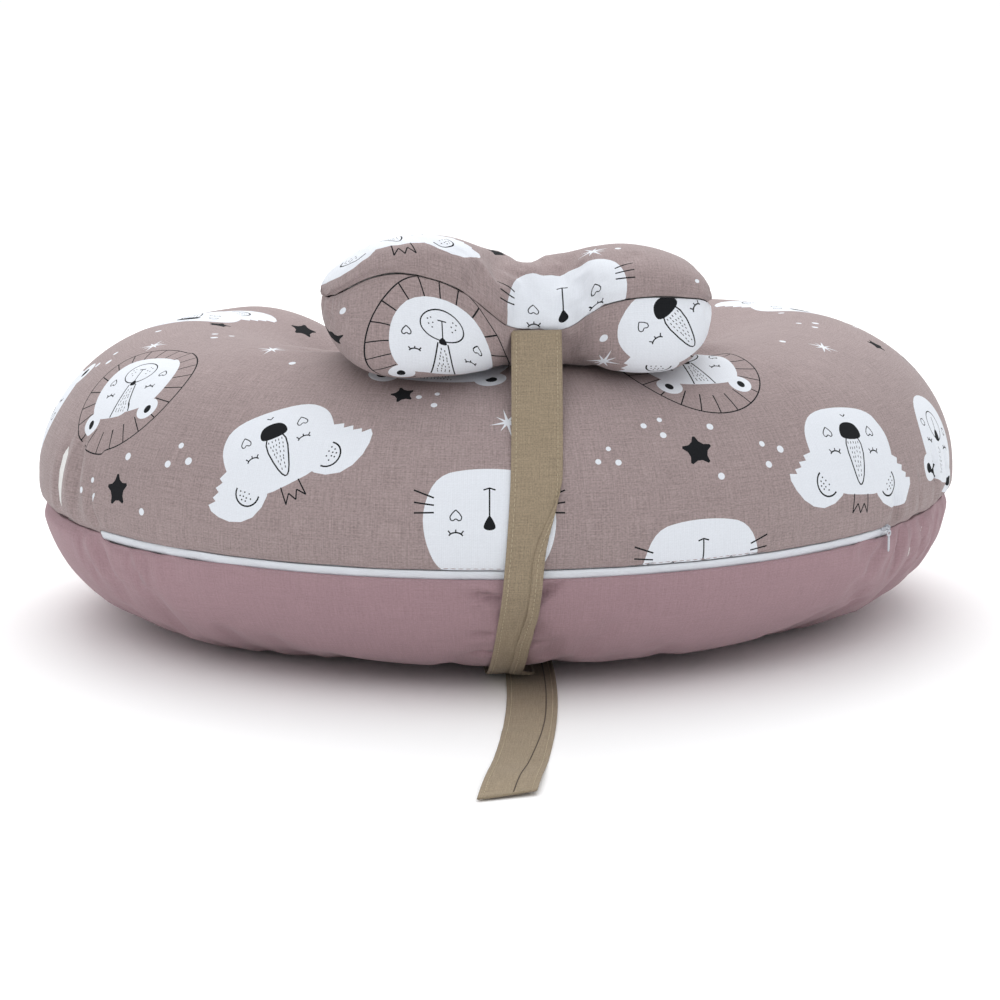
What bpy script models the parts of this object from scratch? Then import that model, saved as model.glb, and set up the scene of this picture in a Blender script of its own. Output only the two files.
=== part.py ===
"""Nursing pillow: a C-shaped main pillow in a zipped cover, and a small head pillow strapped over its front.

Metres, +Z up, and -Y is the front, where the zip is. Seen from above, the main pillow is a front arc with
an arm of smaller radius at each end. Angles are measured about the vertical axis through the front arc's
centre, from -Y towards +X. The zip's slider and the strapped head pillow both travel round that axis.
"""

import math

import bmesh
import bpy
from mathutils import Matrix, Vector

MM = 0.001

# Main pillow, seen from above
FRONT_RADIUS = 0.2152
FRONT_HALF_ANGLE = math.radians(62)
ARM_RADIUS = 0.122
ARM_END_ANGLE = math.radians(142)
TIP_LENGTH = 0.090

# Main pillow, in section
HALF_WIDTH = 0.1085
HALF_HEIGHT = 0.098
SEAM_HEIGHT = 0.086
BOTTOM_SQUARENESS = 0.9
BOTTOM_PRESS = 1.03
STRAPPED_PRESS = 1.0
STRAPPED_HALF_ANGLE = math.radians(36)
STRAPPED_END_ANGLE = math.radians(46)
UNDERSIDE_LIFT = 2.6 * MM
LIFT_HALF_ANGLE = math.radians(42)
LIFT_END_ANGLE = math.radians(50)

# Layers, by their depth below the outer surface
COVER_THICKNESS = 1.0 * MM
CASING_DEPTH = 1.6 * MM
CASING_THICKNESS = 0.8 * MM
FILLING_DEPTH = 3.4 * MM
SEAM_GAP = 0.15 * MM
FIT_GAP = 0.3 * MM

# Facets of the main pillow
FRONT_STEPS = 28
ARM_STEPS = 9
TIP_STEPS = 4
HALF_SECTION_STEPS = 7

# Zip, in the front seam. Depths are outward from the seam line.
ZIP_LEFT = math.radians(-59.5)
ZIP_RIGHT = math.radians(43.6)
ZIP_WINDOW = 3.3 * MM
ZIP_END_MARGIN = math.radians(0.3)
ZIP_END_TAPER = math.radians(1.2)
ZIP_RECESS = 0.8 * MM
COVER_DIP = 1.2 * MM + ZIP_RECESS
CASING_DIP = 3.9 * MM + ZIP_RECESS
CHAIN_SLIT = 0.55 * MM
COIL_HEIGHT = 1.6 * MM
COIL_OUT = -0.65 * MM - ZIP_RECESS
COIL_IN = -2.45 * MM - ZIP_RECESS
TAPE_OUT = -2.75 * MM - ZIP_RECESS
TAPE_THICKNESS = 0.5 * MM
TAPE_FLAT = 3.0 * MM
TAPE_REACH = 6.5 * MM
TAPE_LEAN = {1: 0.8 * MM, -1: 1.5 * MM}
STOP_LENGTH = 2.4 * MM
ZIP_STEP = math.radians(3.2)

# Zip slider and its pull
SLIDER_LENGTH = 8.4 * MM
SLIDER_HALF_HEIGHT = 3.0 * MM
SLIDER_PLATE = 0.8 * MM
SLIDER_FRONT = 0.5 * MM - ZIP_RECESS
SLIDER_BACK = -4.4 * MM - ZIP_RECESS
SLIDER_WEB = 0.5 * MM
FLANGE_THICKNESS = 0.5 * MM
FLANGE_DEPTH = 2.0 * MM
BRIDGE_BAR = 0.9 * MM
BRIDGE_HALF_LENGTH = 3.1 * MM
BRIDGE_STAND = 2.0 * MM
PULL_EYE_RADIUS = 1.65 * MM
PULL_HOLE_RADIUS = 0.95 * MM
PULL_LENGTH = 15.5 * MM
PULL_THICKNESS = 0.9 * MM

# Head pillow: two lobes and a waist, long side along the front arc. It leans back, so that its front seam
# is higher than its rear one. The tables give heights at places along it, in mm.
HEAD_ANGLE = math.radians(-3)
HEAD_LEFT = -0.127
HEAD_RIGHT = 0.1135
HEAD_WAIST = 0.004
HEAD_WAIST_DEPTH = 0.041
HEAD_WAIST_LENGTH = 0.07
LEFT_LOBE = {"centre": -0.067, "half_length": 0.060, "half_depth": 0.068}
RIGHT_LOBE = {"centre": 0.0675, "half_length": 0.046, "half_depth": 0.064}
LOBE_ROUNDNESS = 2.3
HEAD_FRONT_SEAM = (
    (-127, 238),
    (-102, 255),
    (-78, 258),
    (-46, 247),
    (-17, 224),
    (4, 220),
    (20, 221),
    (38, 236),
    (64, 242),
    (98, 239),
    (113.5, 232),
)
HEAD_MIDDLE_SEAM = ((-127, 238), (-78, 237), (4, 221), (64, 234), (113.5, 232))
HEAD_CROWN = ((-127, 271), (-60, 271), (5, 256), (60, 267), (113.5, 267))
HEAD_END_ROUNDNESS = 3.5
HEAD_LOW_END_ROUNDNESS = 7.0
HEAD_BELLY = 0.0075
HEAD_BELLY_START = 0.04
HEAD_SIDE_ROUNDNESS = 0.4
HEAD_FOLD_SPREAD = 1.3
HEAD_CLEARANCE = 0.8 * MM
HEAD_PANEL_THICKNESS = 1.0 * MM
HEAD_FILLING_DEPTH = 2.5 * MM
HEAD_STEPS = 16
HEAD_SIDE_STEPS = 8

# Strap, sewn to both long seams of the head pillow and knotted behind the front of the main pillow
STRAP_WIDTH = 0.031
STRAP_THICKNESS = 0.8 * MM
STRAP_STAND_OFF = 0.6 * MM
STRAP_ANGLE_AT_FLOOR = math.radians(-6.4)
STRAP_LEAN = math.radians(15.5)
STRAP_UNDER_HEIGHT = 1.8 * MM
STRAP_SEWN_IN = 0.0475
STRAP_SEWN_HEIGHT = 0.219
STRAP_STEPS = 22
STRAP_FRONT_START = math.radians(80)
STRAP_FRONT_WRAP = math.radians(150)
STRAP_REAR_START = math.radians(100)
STRAP_REAR_WRAP = math.radians(110)
STRAP_FLOOR_STOPS = (0.03, 0.0, -0.03, -0.06)
SLIDER_CLEAR_ABOVE = 4 * MM
SLIDER_CLEAR_BELOW = 2 * MM
KNOT_ENTRY_HEIGHT = 6 * MM
KNOT_REAR_ENTRY = 4 * MM
SLIDER_PASS = 4.3 * MM
TAIL_HEIGHT = 0.7 * MM
KNOT_OFFSET = -0.0915
KNOT_SIZE = Vector((0.036, 0.026, 0.0215))
KNOT_BLUNTNESS = 0.6
KNOT_CREASE = 0.12
KNOT_CREASE_WIDTH = 0.25
TAIL_START = Vector((13 * MM, -1 * MM))
TAIL_BOW = 11 * MM
REAR_TAIL_BOW = 2 * MM
TAIL_END = (-0.0705, -0.4854)
REAR_TAIL_END = (0.016, -0.066)

# The origin is under the middle of the whole object's box.
BACK_REACH = 0.1508
FRONT_REACH = 0.4898
AXIS_Y = (FRONT_REACH - BACK_REACH) / 2

SHARP_ANGLE = math.radians(40)
STATION_CLEARANCE = math.radians(1)

SEAM_ANGLE = math.asin((SEAM_HEIGHT - HALF_HEIGHT) / HALF_HEIGHT)
SEAM_OFFSET = HALF_WIDTH * math.cos(SEAM_ANGLE)
SEAM_RADIUS = FRONT_RADIUS + SEAM_OFFSET


def clear_scene():
    for item in list(bpy.data.objects):
        bpy.data.objects.remove(item)


def material(name, colour, roughness, metallic=0.0):
    made = bpy.data.materials.new(name)
    made.use_nodes = True
    shader = made.node_tree.nodes["Principled BSDF"]
    shader.inputs["Base Color"].default_value = (*colour, 1.0)
    shader.inputs["Roughness"].default_value = roughness
    shader.inputs["Metallic"].default_value = metallic
    return made


def make_object(name, mesh_data, look):
    bmesh.ops.recalc_face_normals(mesh_data, faces=mesh_data.faces)
    mesh = bpy.data.meshes.new(name)
    mesh_data.to_mesh(mesh)
    mesh_data.free()
    mesh.shade_smooth()
    mesh.set_sharp_from_angle(angle=SHARP_ANGLE)
    made = bpy.data.objects.new(name, mesh)
    mesh.materials.append(look)
    bpy.context.scene.collection.objects.link(made)
    return made


def set_origin(item, point):
    """Moves an object's origin without moving its shape."""
    item.data.transform(Matrix.Translation(-Vector(point)))
    item.location = point


def at(angle, radius, height):
    """A point by its angle and distance from the axis of the front arc."""
    return Vector((radius * math.sin(angle), AXIS_Y - radius * math.cos(angle), height))


# ---- solids from rows of points


def lofted_solid(name, rows, look):
    """A closed solid through closed loops. A first or last row of one point is a pole, any other is capped."""
    made = bmesh.new()
    rings = [[made.verts.new(point) for point in row] for row in rows]
    for low, high in zip(rings, rings[1:]):
        count = max(len(low), len(high))
        for i in range(count):
            j = (i + 1) % count
            corners = [low[i % len(low)], low[j % len(low)], high[j % len(high)], high[i % len(high)]]
            made.faces.new(dict.fromkeys(corners))
    for ring in (rings[0], rings[-1]):
        if len(ring) > 1:
            made.faces.new(ring)
    return make_object(name, made, look)


def lofted_shell(name, outer_rows, inner_rows, look):
    """A thin open shell between two sheets of points. The first and last row of each sheet is a pole."""
    made = bmesh.new()
    sheets = [[[made.verts.new(point) for point in row] for row in rows] for rows in (outer_rows, inner_rows)]

    def strip(low, high):
        for i in range(max(len(low), len(high)) - 1):
            a, b = (low[0], low[0]) if len(low) == 1 else (low[i], low[i + 1])
            c, d = (high[0], high[0]) if len(high) == 1 else (high[i + 1], high[i])
            made.faces.new(dict.fromkeys((a, b, c, d)))

    for sheet in sheets:
        for low, high in zip(sheet, sheet[1:]):
            strip(low, high)
    outer, inner = sheets
    for edge in (0, -1):
        for i in range(len(outer) - 1):
            strip([outer[i][edge], outer[i + 1][edge]], [inner[i][edge], inner[i + 1][edge]])
    return make_object(name, made, look)


def extruded(outline, along, half_length):
    """A bmesh of a flat outline pushed both ways along a direction."""
    made = bmesh.new()
    face = made.faces.new([made.verts.new(point - along * half_length) for point in outline])
    pushed = bmesh.ops.extrude_face_region(made, geom=[face])
    new_verts = [part for part in pushed["geom"] if isinstance(part, bmesh.types.BMVert)]
    bmesh.ops.translate(made, verts=new_verts, vec=along * 2 * half_length)
    return made


def cut_or_join(item, tool, operation):
    change = item.modifiers.new(tool.name, "BOOLEAN")
    change.operation = operation
    change.object = tool
    tool.hide_render = True
    tool.hide_viewport = True
    tool.display_type = "WIRE"


# ---- main pillow


def lift(angle):
    """How far the underside stands off the floor, where the strap and its tail pass below."""
    blend = (LIFT_END_ANGLE - abs(angle)) / (LIFT_END_ANGLE - LIFT_HALF_ANGLE)
    return UNDERSIDE_LIFT * min(max(blend, 0.0), 1.0)


def press(angle):
    """How far the underside is pressed flat: less where the strap pulls it round."""
    blend = (STRAPPED_END_ANGLE - abs(angle)) / (STRAPPED_END_ANGLE - STRAPPED_HALF_ANGLE)
    return BOTTOM_PRESS + (STRAPPED_PRESS - BOTTOM_PRESS) * min(max(blend, 0.0), 1.0)


def section(phi, depth, angle=0.0, floor=0.0):
    """(outward offset, height) of the section at phi, a depth below its surface, at an angle round the front."""
    normal = Vector((math.cos(phi) / HALF_WIDTH, math.sin(phi) / HALF_HEIGHT)).normalized()
    rise = math.sin(phi)
    if rise < 0:
        rise = -press(angle) * abs(rise) ** BOTTOM_SQUARENESS
    offset = HALF_WIDTH * math.cos(phi) - depth * normal.x
    height = HALF_HEIGHT * (1 + rise) - depth * normal.y
    return offset, max(height, floor + depth)


def stations(depth):
    """Places along the centreline: point, outward direction, section scale and angle."""
    front = [FRONT_HALF_ANGLE * (2 * i / FRONT_STEPS - 1) for i in range(FRONT_STEPS + 1)]
    ends = []
    for end, sign in ((ZIP_LEFT, -1), (ZIP_RIGHT, 1)):
        ends += [end + sign * ZIP_END_MARGIN, end + sign * (ZIP_END_MARGIN + ZIP_END_TAPER)]
    clear = STATION_CLEARANCE
    front = [a for a in front if all(abs(a - e) > clear for e in ends) or abs(a) == FRONT_HALF_ANGLE]
    arm_step = (ARM_END_ANGLE - FRONT_HALF_ANGLE) / ARM_STEPS
    arm = [FRONT_HALF_ANGLE + arm_step * i for i in range(1, ARM_STEPS + 1)]
    turns = [-turn for turn in reversed(arm)] + sorted(front + ends) + arm
    found = []
    for turn in turns:
        sign = math.copysign(1, turn)
        bend = min(abs(turn), FRONT_HALF_ANGLE)
        hub = Vector((sign * math.sin(bend), -math.cos(bend))) * (FRONT_RADIUS - ARM_RADIUS)
        hub = hub if abs(turn) > FRONT_HALF_ANGLE else Vector((0, 0))
        radius = ARM_RADIUS if abs(turn) > FRONT_HALF_ANGLE else FRONT_RADIUS
        outward = Vector((math.sin(turn), -math.cos(turn)))
        found.append((hub + outward * radius, outward, 1.0, turn))
    for end, sign in ((0, -1), (-1, 1)):
        point, outward, _, turn = found[end]
        ahead = Vector((math.cos(turn), math.sin(turn))) * sign
        tip = []
        for i in range(1, TIP_STEPS + 1):
            swing = math.pi / 2 * i / TIP_STEPS
            tip.append((point + ahead * (TIP_LENGTH - depth) * math.sin(swing), outward, math.cos(swing), turn))
        found = list(reversed(tip)) + found if sign < 0 else found + tip
    return found


def body_point(station, offset, height):
    point, outward, scale, _ = station
    place = point + outward * offset * scale
    return Vector((place.x, AXIS_Y + place.y, SEAM_HEIGHT + (height - SEAM_HEIGHT) * scale))


def seam_edge(turn, window):
    """Half the gap between the two panels at the front seam, wide where the zip shows."""
    shown = ZIP_LEFT - ZIP_END_MARGIN * 1.1 < turn < ZIP_RIGHT + ZIP_END_MARGIN * 1.1
    return window if shown else SEAM_GAP


def half_rows(side, depth, dip, window):
    """Rows across the upper (side 1) or lower (side -1) half, from the front seam to the inner seam."""
    first = SEAM_ANGLE
    last = math.pi - SEAM_ANGLE if side > 0 else -math.pi - SEAM_ANGLE
    rows = []
    for station in stations(depth):
        if station[2] < 1e-6:
            rows.append([body_point(station, 0, SEAM_HEIGHT) + Vector((0, 0, side * SEAM_GAP))])
            continue
        row = []
        for i in range(HALF_SECTION_STEPS + 1):
            phi = first + (last - first) * i / HALF_SECTION_STEPS
            offset, height = section(phi, depth, station[3], lift(station[3]))
            if i == 0:
                offset, height = section(phi, depth + dip * station[2])
            point = body_point(station, offset, height)
            if i in (0, HALF_SECTION_STEPS):
                edge = seam_edge(station[3], window) if i == 0 else SEAM_GAP
                point.z = SEAM_HEIGHT + side * edge
            row.append(point)
        rows.append(row)
    return rows


def panel(name, side, depth, thickness, dip, window, look):
    outer = half_rows(side, depth, dip, window)
    inner = half_rows(side, depth + thickness, dip, window)
    return lofted_shell(name, outer, inner, look)


def main_filling(look):
    upper = half_rows(1, FILLING_DEPTH, CASING_DIP, SEAM_GAP)
    lower = half_rows(-1, FILLING_DEPTH, CASING_DIP, SEAM_GAP)
    rows = []
    for high, low in zip(upper, lower):
        seam_points = [(high[0] + low[0]) / 2, (high[-1] + low[-1]) / 2]
        if len(high) == 1:
            rows.append([seam_points[0]])
        else:
            rows.append([seam_points[0], *high[1:-1], seam_points[1], *reversed(low[1:-1])])
    return lofted_solid("main_filling", rows, look)


# ---- zip


def round_the_front(name, profile, start, end, look):
    """A closed outline of (depth, height above the seam) swept round the front arc."""
    steps = max(1, math.ceil((end - start) / ZIP_STEP))
    rows = []
    for i in range(steps + 1):
        angle = start + (end - start) * i / steps
        rows.append([at(angle, SEAM_RADIUS + depth, SEAM_HEIGHT + rise) for depth, rise in profile])
    return lofted_solid(name, rows, look)


def rectangle(deep, shallow, low, high):
    return [(deep, low), (shallow, low), (shallow, high), (deep, high)]


def zip_chain(looks):
    stop_angle = STOP_LENGTH / SEAM_RADIUS
    gap_angle = FIT_GAP / SEAM_RADIUS
    start = ZIP_LEFT + stop_angle + gap_angle
    end = ZIP_RIGHT - stop_angle - gap_angle
    top = CHAIN_SLIT + COIL_HEIGHT
    for side, word in ((1, "upper"), (-1, "lower")):
        low, high = sorted((side * CHAIN_SLIT, side * top))
        coil = rectangle(COIL_IN, COIL_OUT, low, high)
        round_the_front(f"zip_coil_{word}", coil, start, end, looks["zip"])
        round_the_front(f"zip_top_stop_{word}", coil, ZIP_RIGHT - stop_angle, ZIP_RIGHT, looks["metal"])
        back = TAPE_OUT - TAPE_THICKNESS
        lean = TAPE_LEAN[side]
        edges = [(TAPE_OUT, CHAIN_SLIT), (TAPE_OUT, TAPE_FLAT), (TAPE_OUT - lean, TAPE_REACH)]
        edges += [(back - lean, TAPE_REACH), (back, TAPE_FLAT), (back, CHAIN_SLIT)]
        tape = [(depth, side * rise) for depth, rise in edges]
        margin = ZIP_END_MARGIN
        round_the_front(f"zip_tape_{word}", tape, ZIP_LEFT - margin, ZIP_RIGHT + margin, looks["zip"])
    stop = rectangle(COIL_IN, COIL_OUT, -top, top)
    round_the_front("zip_bottom_stop", stop, ZIP_LEFT, ZIP_LEFT + stop_angle, looks["metal"])


def slider_angle():
    """The slider closes the zip against the top stops at the right end."""
    clear = STOP_LENGTH + 2 * FIT_GAP + SLIDER_LENGTH / 2
    return ZIP_RIGHT - clear / SEAM_RADIUS


def slider_frame():
    """Outward, up and along directions at the slider, and its point on the seam line."""
    angle = slider_angle()
    outward = Vector((math.sin(angle), -math.cos(angle), 0))
    along = Vector((math.cos(angle), math.sin(angle), 0))
    return outward, Vector((0, 0, 1)), along, at(angle, SEAM_RADIUS, SEAM_HEIGHT)


def zip_slider(look):
    outward, up, along, seam = slider_frame()
    half, web, plate = SLIDER_HALF_HEIGHT, SLIDER_WEB / 2, SLIDER_PLATE
    front_in, back_out = SLIDER_FRONT - plate, SLIDER_BACK + plate
    flange_in, flange_tip = half - FLANGE_THICKNESS, front_in - FLANGE_DEPTH
    right = [(half, SLIDER_BACK), (half, back_out), (web, back_out), (web, front_in), (flange_in, front_in)]
    right += [(flange_in, flange_tip), (half, flange_tip), (half, SLIDER_FRONT)]
    outline = right + [(-rise, depth) for rise, depth in reversed(right)]
    points = [seam + up * rise + outward * depth for rise, depth in outline]
    slider = make_object("zip_slider", extruded(points, along, SLIDER_LENGTH / 2), look)
    bar_in = SLIDER_FRONT + BRIDGE_STAND - BRIDGE_BAR / 2
    bar_out = bar_in + BRIDGE_BAR
    foot = SLIDER_FRONT - plate / 2
    long, short = BRIDGE_HALF_LENGTH, BRIDGE_HALF_LENGTH - BRIDGE_BAR
    arch = [(-long, foot), (-long, bar_out), (long, bar_out), (long, foot)]
    arch += [(short, foot), (short, bar_in), (-short, bar_in), (-short, foot)]
    points = [seam + along * place + outward * depth for place, depth in arch]
    bridge = make_object("bridge_form", extruded(points, up, BRIDGE_BAR / 2), look)
    cut_or_join(slider, bridge, "UNION")
    set_origin(slider, (0, AXIS_Y, SEAM_HEIGHT))
    return slider


def zip_pull_tab(look):
    """The pull hangs from the slider's bridge, and swings about the bridge's bar."""
    outward, up, along, seam = slider_frame()
    pivot = seam + outward * (SLIDER_FRONT + BRIDGE_STAND)
    steps = 8
    outline = []
    for i in range(steps + 1):
        turn = math.pi * i / steps
        outline.append(pivot + (outward * math.cos(turn) + up * math.sin(turn)) * PULL_EYE_RADIUS)
    foot = pivot - up * (PULL_LENGTH - PULL_EYE_RADIUS)
    for i in range(steps + 1):
        turn = math.pi * (1 + i / steps)
        outline.append(foot + (outward * math.cos(turn) + up * math.sin(turn)) * PULL_EYE_RADIUS)
    pull = make_object("zip_pull_tab", extruded(outline, along, PULL_THICKNESS / 2), look)
    hole = []
    sides = 12
    for i in range(sides):
        turn = 2 * math.pi * i / sides
        hole.append(pivot + (outward * math.cos(turn) + up * math.sin(turn)) * PULL_HOLE_RADIUS)
    cutter = make_object("eye_form", extruded(hole, along, PULL_THICKNESS), look)
    cut_or_join(pull, cutter, "DIFFERENCE")
    set_origin(pull, pivot)
    return pull


# ---- head pillow


def curve(table, place):
    """A smooth line through the points of a table in mm, read at a place in metres."""
    spot = min(max(place / MM, table[0][0]), table[-1][0])
    i = max(k for k in range(len(table) - 1) if table[k][0] <= spot)
    slopes = []
    for k in (i, i + 1):
        (x0, y0), (x1, y1) = table[max(k - 1, 0)], table[min(k + 1, len(table) - 1)]
        slopes.append((y1 - y0) / (x1 - x0))
    (x0, y0), (x1, y1) = table[i], table[i + 1]
    run, t = x1 - x0, (spot - x0) / (x1 - x0)
    ends = y0 * (1 + 2 * t) * (1 - t) ** 2 + y1 * t * t * (3 - 2 * t)
    return MM * (ends + run * (slopes[0] * t * (1 - t) ** 2 - slopes[1] * t * t * (1 - t)))


def lobe_depth(place, lobe):
    reach = abs(place - lobe["centre"]) / lobe["half_length"]
    return lobe["half_depth"] * max(0.0, 1 - reach**LOBE_ROUNDNESS) ** 0.5


def head_half_depth(place):
    waist = HEAD_WAIST_DEPTH * math.exp(-(((place - HEAD_WAIST) / HEAD_WAIST_LENGTH) ** 4))
    return (lobe_depth(place, LEFT_LOBE) ** 4 + lobe_depth(place, RIGHT_LOBE) ** 4 + waist**4) ** 0.25


def tube_top(radius, depth=0.0):
    """Height of the main pillow's upper surface at a distance from the axis, or the seam's beyond it."""
    reach = abs(radius - FRONT_RADIUS) / (HALF_WIDTH + depth)
    return HALF_HEIGHT + (HALF_HEIGHT + depth) * math.sqrt(1 - reach**2) if reach < 1 else SEAM_HEIGHT


def head_rows(side, depth):
    """Rows across the upper (side 1) or lower (side -1) skin, from the front seam to the rear seam."""
    outward = Vector((math.sin(HEAD_ANGLE), -math.cos(HEAD_ANGLE), 0))
    along = Vector((math.cos(HEAD_ANGLE), math.sin(HEAD_ANGLE), 0))
    middle = at(HEAD_ANGLE, FRONT_RADIUS, 0)
    span = (HEAD_RIGHT - HEAD_LEFT) / 2
    centre = (HEAD_RIGHT + HEAD_LEFT) / 2
    rows = []
    for i in range(HEAD_STEPS + 1):
        reach = -math.cos(math.pi * i / HEAD_STEPS)
        place = centre + span * reach
        half_depth = head_half_depth(place) - depth
        seam = curve(HEAD_MIDDLE_SEAM, place)
        lean = curve(HEAD_FRONT_SEAM, place) - seam
        crown = math.sqrt(max(0.0, 1 - abs(reach) ** HEAD_END_ROUNDNESS))
        rise = (curve(HEAD_CROWN, place) - seam) * crown - depth
        drop = math.sqrt(max(0.0, 1 - abs(reach) ** HEAD_LOW_END_ROUNDNESS))
        belly = (HEAD_BELLY - depth) * drop * (1 - math.exp(-(((place - HEAD_WAIST) / HEAD_BELLY_START) ** 4)))
        place = centre + (span - depth) * reach
        if i in (0, HEAD_STEPS):
            rows.append([middle + along * place + Vector((0, 0, seam + side * SEAM_GAP))])
            continue
        row = []
        for k in range(HEAD_SIDE_STEPS + 1):
            turn = math.pi * k / HEAD_SIDE_STEPS
            across = math.cos(turn)
            arch = max(0.0, 1 - across**2) ** HEAD_SIDE_ROUNDNESS
            reach_out = half_depth * across + (belly * math.sin(2 * turn) if side < 0 else 0)
            point = middle + along * place + outward * reach_out
            radius = (point - Vector((0, AXIS_Y, 0))).length
            edge = seam + lean * across
            height = edge + rise * arch
            if side < 0:
                rest = tube_top(radius, HEAD_CLEARANCE)
                height = max(edge - (edge - rest) * drop * arch, rest) + HEAD_FOLD_SPREAD * depth * arch
            row.append(point + Vector((0, 0, height + side * SEAM_GAP)))
        rows.append(row)
    return rows


def head_pillow(looks):
    pieces = []
    for side, word in ((1, "top"), (-1, "bottom")):
        outer = head_rows(side, 0)
        inner = head_rows(side, HEAD_PANEL_THICKNESS)
        pieces.append(lofted_shell(f"head_{word}_panel", outer, inner, looks["print"]))
    rows = []
    for high, low in zip(head_rows(1, HEAD_FILLING_DEPTH), head_rows(-1, HEAD_FILLING_DEPTH)):
        if len(high) == 1:
            rows.append([(high[0] + low[0]) / 2])
            continue
        ends = [(high[0] + low[0]) / 2, (high[-1] + low[-1]) / 2]
        rows.append([ends[0], *high[1:-1], ends[1], *reversed(low[1:-1])])
    pieces.append(lofted_solid("head_filling", rows, looks["filling"]))
    return pieces


# ---- strap


def taut(points):
    """Drops the points that a band pulled tight round the outside doesn't touch."""
    kept = []
    for point in points:
        while len(kept) > 1:
            ahead, back = kept[-1] - kept[-2], point - kept[-1]
            if ahead.x * back.y - ahead.y * back.x < 0:
                break
            kept.pop()
        kept.append(point)
    return kept


def strap_angle(height):
    return STRAP_ANGLE_AT_FLOOR + STRAP_LEAN * height


def strap_rows(path, side):
    """Cross-sections of the strap along a path of (outward offset, height) points."""
    rows = []
    for i, point in enumerate(path):
        before, after = path[max(i - 1, 0)], path[min(i + 1, len(path) - 1)]
        ahead = (after - before).normalized()
        normal = Vector((-ahead.y, ahead.x)) * side
        faces = []
        for half in (1, -1):
            spot = point + normal * half * STRAP_THICKNESS / 2
            radius = FRONT_RADIUS + spot.x
            reach = STRAP_WIDTH / 2 / (FRONT_RADIUS + point.x)
            middle = strap_angle(point.y)
            faces.append([at(middle + reach * step, radius, spot.y) for step in (-1, 0, 1)])
        rows.append(faces[0] + faces[1][::-1])
    return rows


def skin_point(phi, out):
    offset, height = section(phi, -out)
    return Vector((offset, height))


def front_path():
    """From the head pillow's front seam, over the zip and under the pillow, to the knot."""
    out = STRAP_STAND_OFF + STRAP_THICKNESS / 2
    points = [Vector((STRAP_SEWN_IN, STRAP_SEWN_HEIGHT))]
    for i in range(STRAP_STEPS + 1):
        points.append(skin_point(STRAP_FRONT_START - STRAP_FRONT_WRAP * i / STRAP_STEPS, out))
    pass_offset = SEAM_OFFSET + SLIDER_PASS
    for height in (SEAM_HEIGHT + SLIDER_CLEAR_ABOVE, SEAM_HEIGHT - PULL_LENGTH - SLIDER_CLEAR_BELOW):
        points.append(Vector((pass_offset, height)))
    points = [points[0]] + sorted(points[1:], key=lambda point: -point.y)
    points = [Vector((point.x, max(point.y, STRAP_UNDER_HEIGHT))) for point in points]
    for offset in STRAP_FLOOR_STOPS:
        points.append(Vector((offset, STRAP_UNDER_HEIGHT)))
    path = taut(points)
    path.append(Vector((KNOT_OFFSET + KNOT_SIZE.y / 2 + FIT_GAP, KNOT_ENTRY_HEIGHT)))
    return path


def rear_path():
    """From the head pillow's rear seam, down inside the opening, to the knot."""
    out = STRAP_STAND_OFF + STRAP_THICKNESS / 2
    points = [Vector((-STRAP_SEWN_IN, STRAP_SEWN_HEIGHT))]
    for i in range(STRAP_STEPS + 1):
        points.append(skin_point(STRAP_REAR_START + STRAP_REAR_WRAP * i / STRAP_STEPS, out))
    mirrored = taut([Vector((-point.x, point.y)) for point in points])
    path = [Vector((-point.x, point.y)) for point in mirrored]
    path.append(Vector((KNOT_OFFSET - KNOT_REAR_ENTRY, KNOT_SIZE.z + 2 * FIT_GAP)))
    return path


def knot(look):
    """The lump of the tied knot: a rounded block with a crease round it."""
    angle = strap_angle(0)
    outward = Vector((math.sin(angle), -math.cos(angle), 0))
    along = Vector((math.cos(angle), math.sin(angle), 0))
    centre = at(angle, FRONT_RADIUS + KNOT_OFFSET, KNOT_SIZE.z / 2 + FIT_GAP)
    rings, sides = 8, 12
    rows = []
    for i in range(rings + 1):
        swing = math.pi * i / rings
        wide = math.sin(swing) ** KNOT_BLUNTNESS
        wide *= 1 - KNOT_CREASE * math.exp(-((math.cos(swing) / KNOT_CREASE_WIDTH) ** 2))
        place = centre - along * math.cos(swing) * KNOT_SIZE.x / 2
        if i in (0, rings):
            rows.append([place])
            continue
        row = []
        for k in range(sides):
            turn = 2 * math.pi * k / sides
            side = outward * math.cos(turn) * KNOT_SIZE.y + Vector((0, 0, math.sin(turn) * KNOT_SIZE.z))
            row.append(place + side / 2 * wide)
        rows.append(row)
    return lofted_solid("strap_knot", rows, look)


def tail(name, start, end, bow, look):
    """A loose end lying on the floor, in a slow curve between two points given from the axis."""
    first, last = Vector(start), Vector(end)
    run = last - first
    side = Vector((-run.y, run.x)).normalized()
    steps = 12
    rows = []
    for i in range(steps + 1):
        share = i / steps
        middle = first + run * share + side * bow * math.sin(math.pi * share)
        heading = (run + side * bow * math.pi * math.cos(math.pi * share)).normalized()
        across = Vector((-heading.y, heading.x)) * STRAP_WIDTH / 2
        row = []
        for half, half_height in ((1, -1), (-1, -1), (-1, 1), (1, 1)):
            spot = middle + across * half
            height = TAIL_HEIGHT + half_height * STRAP_THICKNESS / 2
            row.append(Vector((spot.x, AXIS_Y + spot.y, height)))
        rows.append(row)
    return lofted_solid(name, rows, look)


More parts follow.
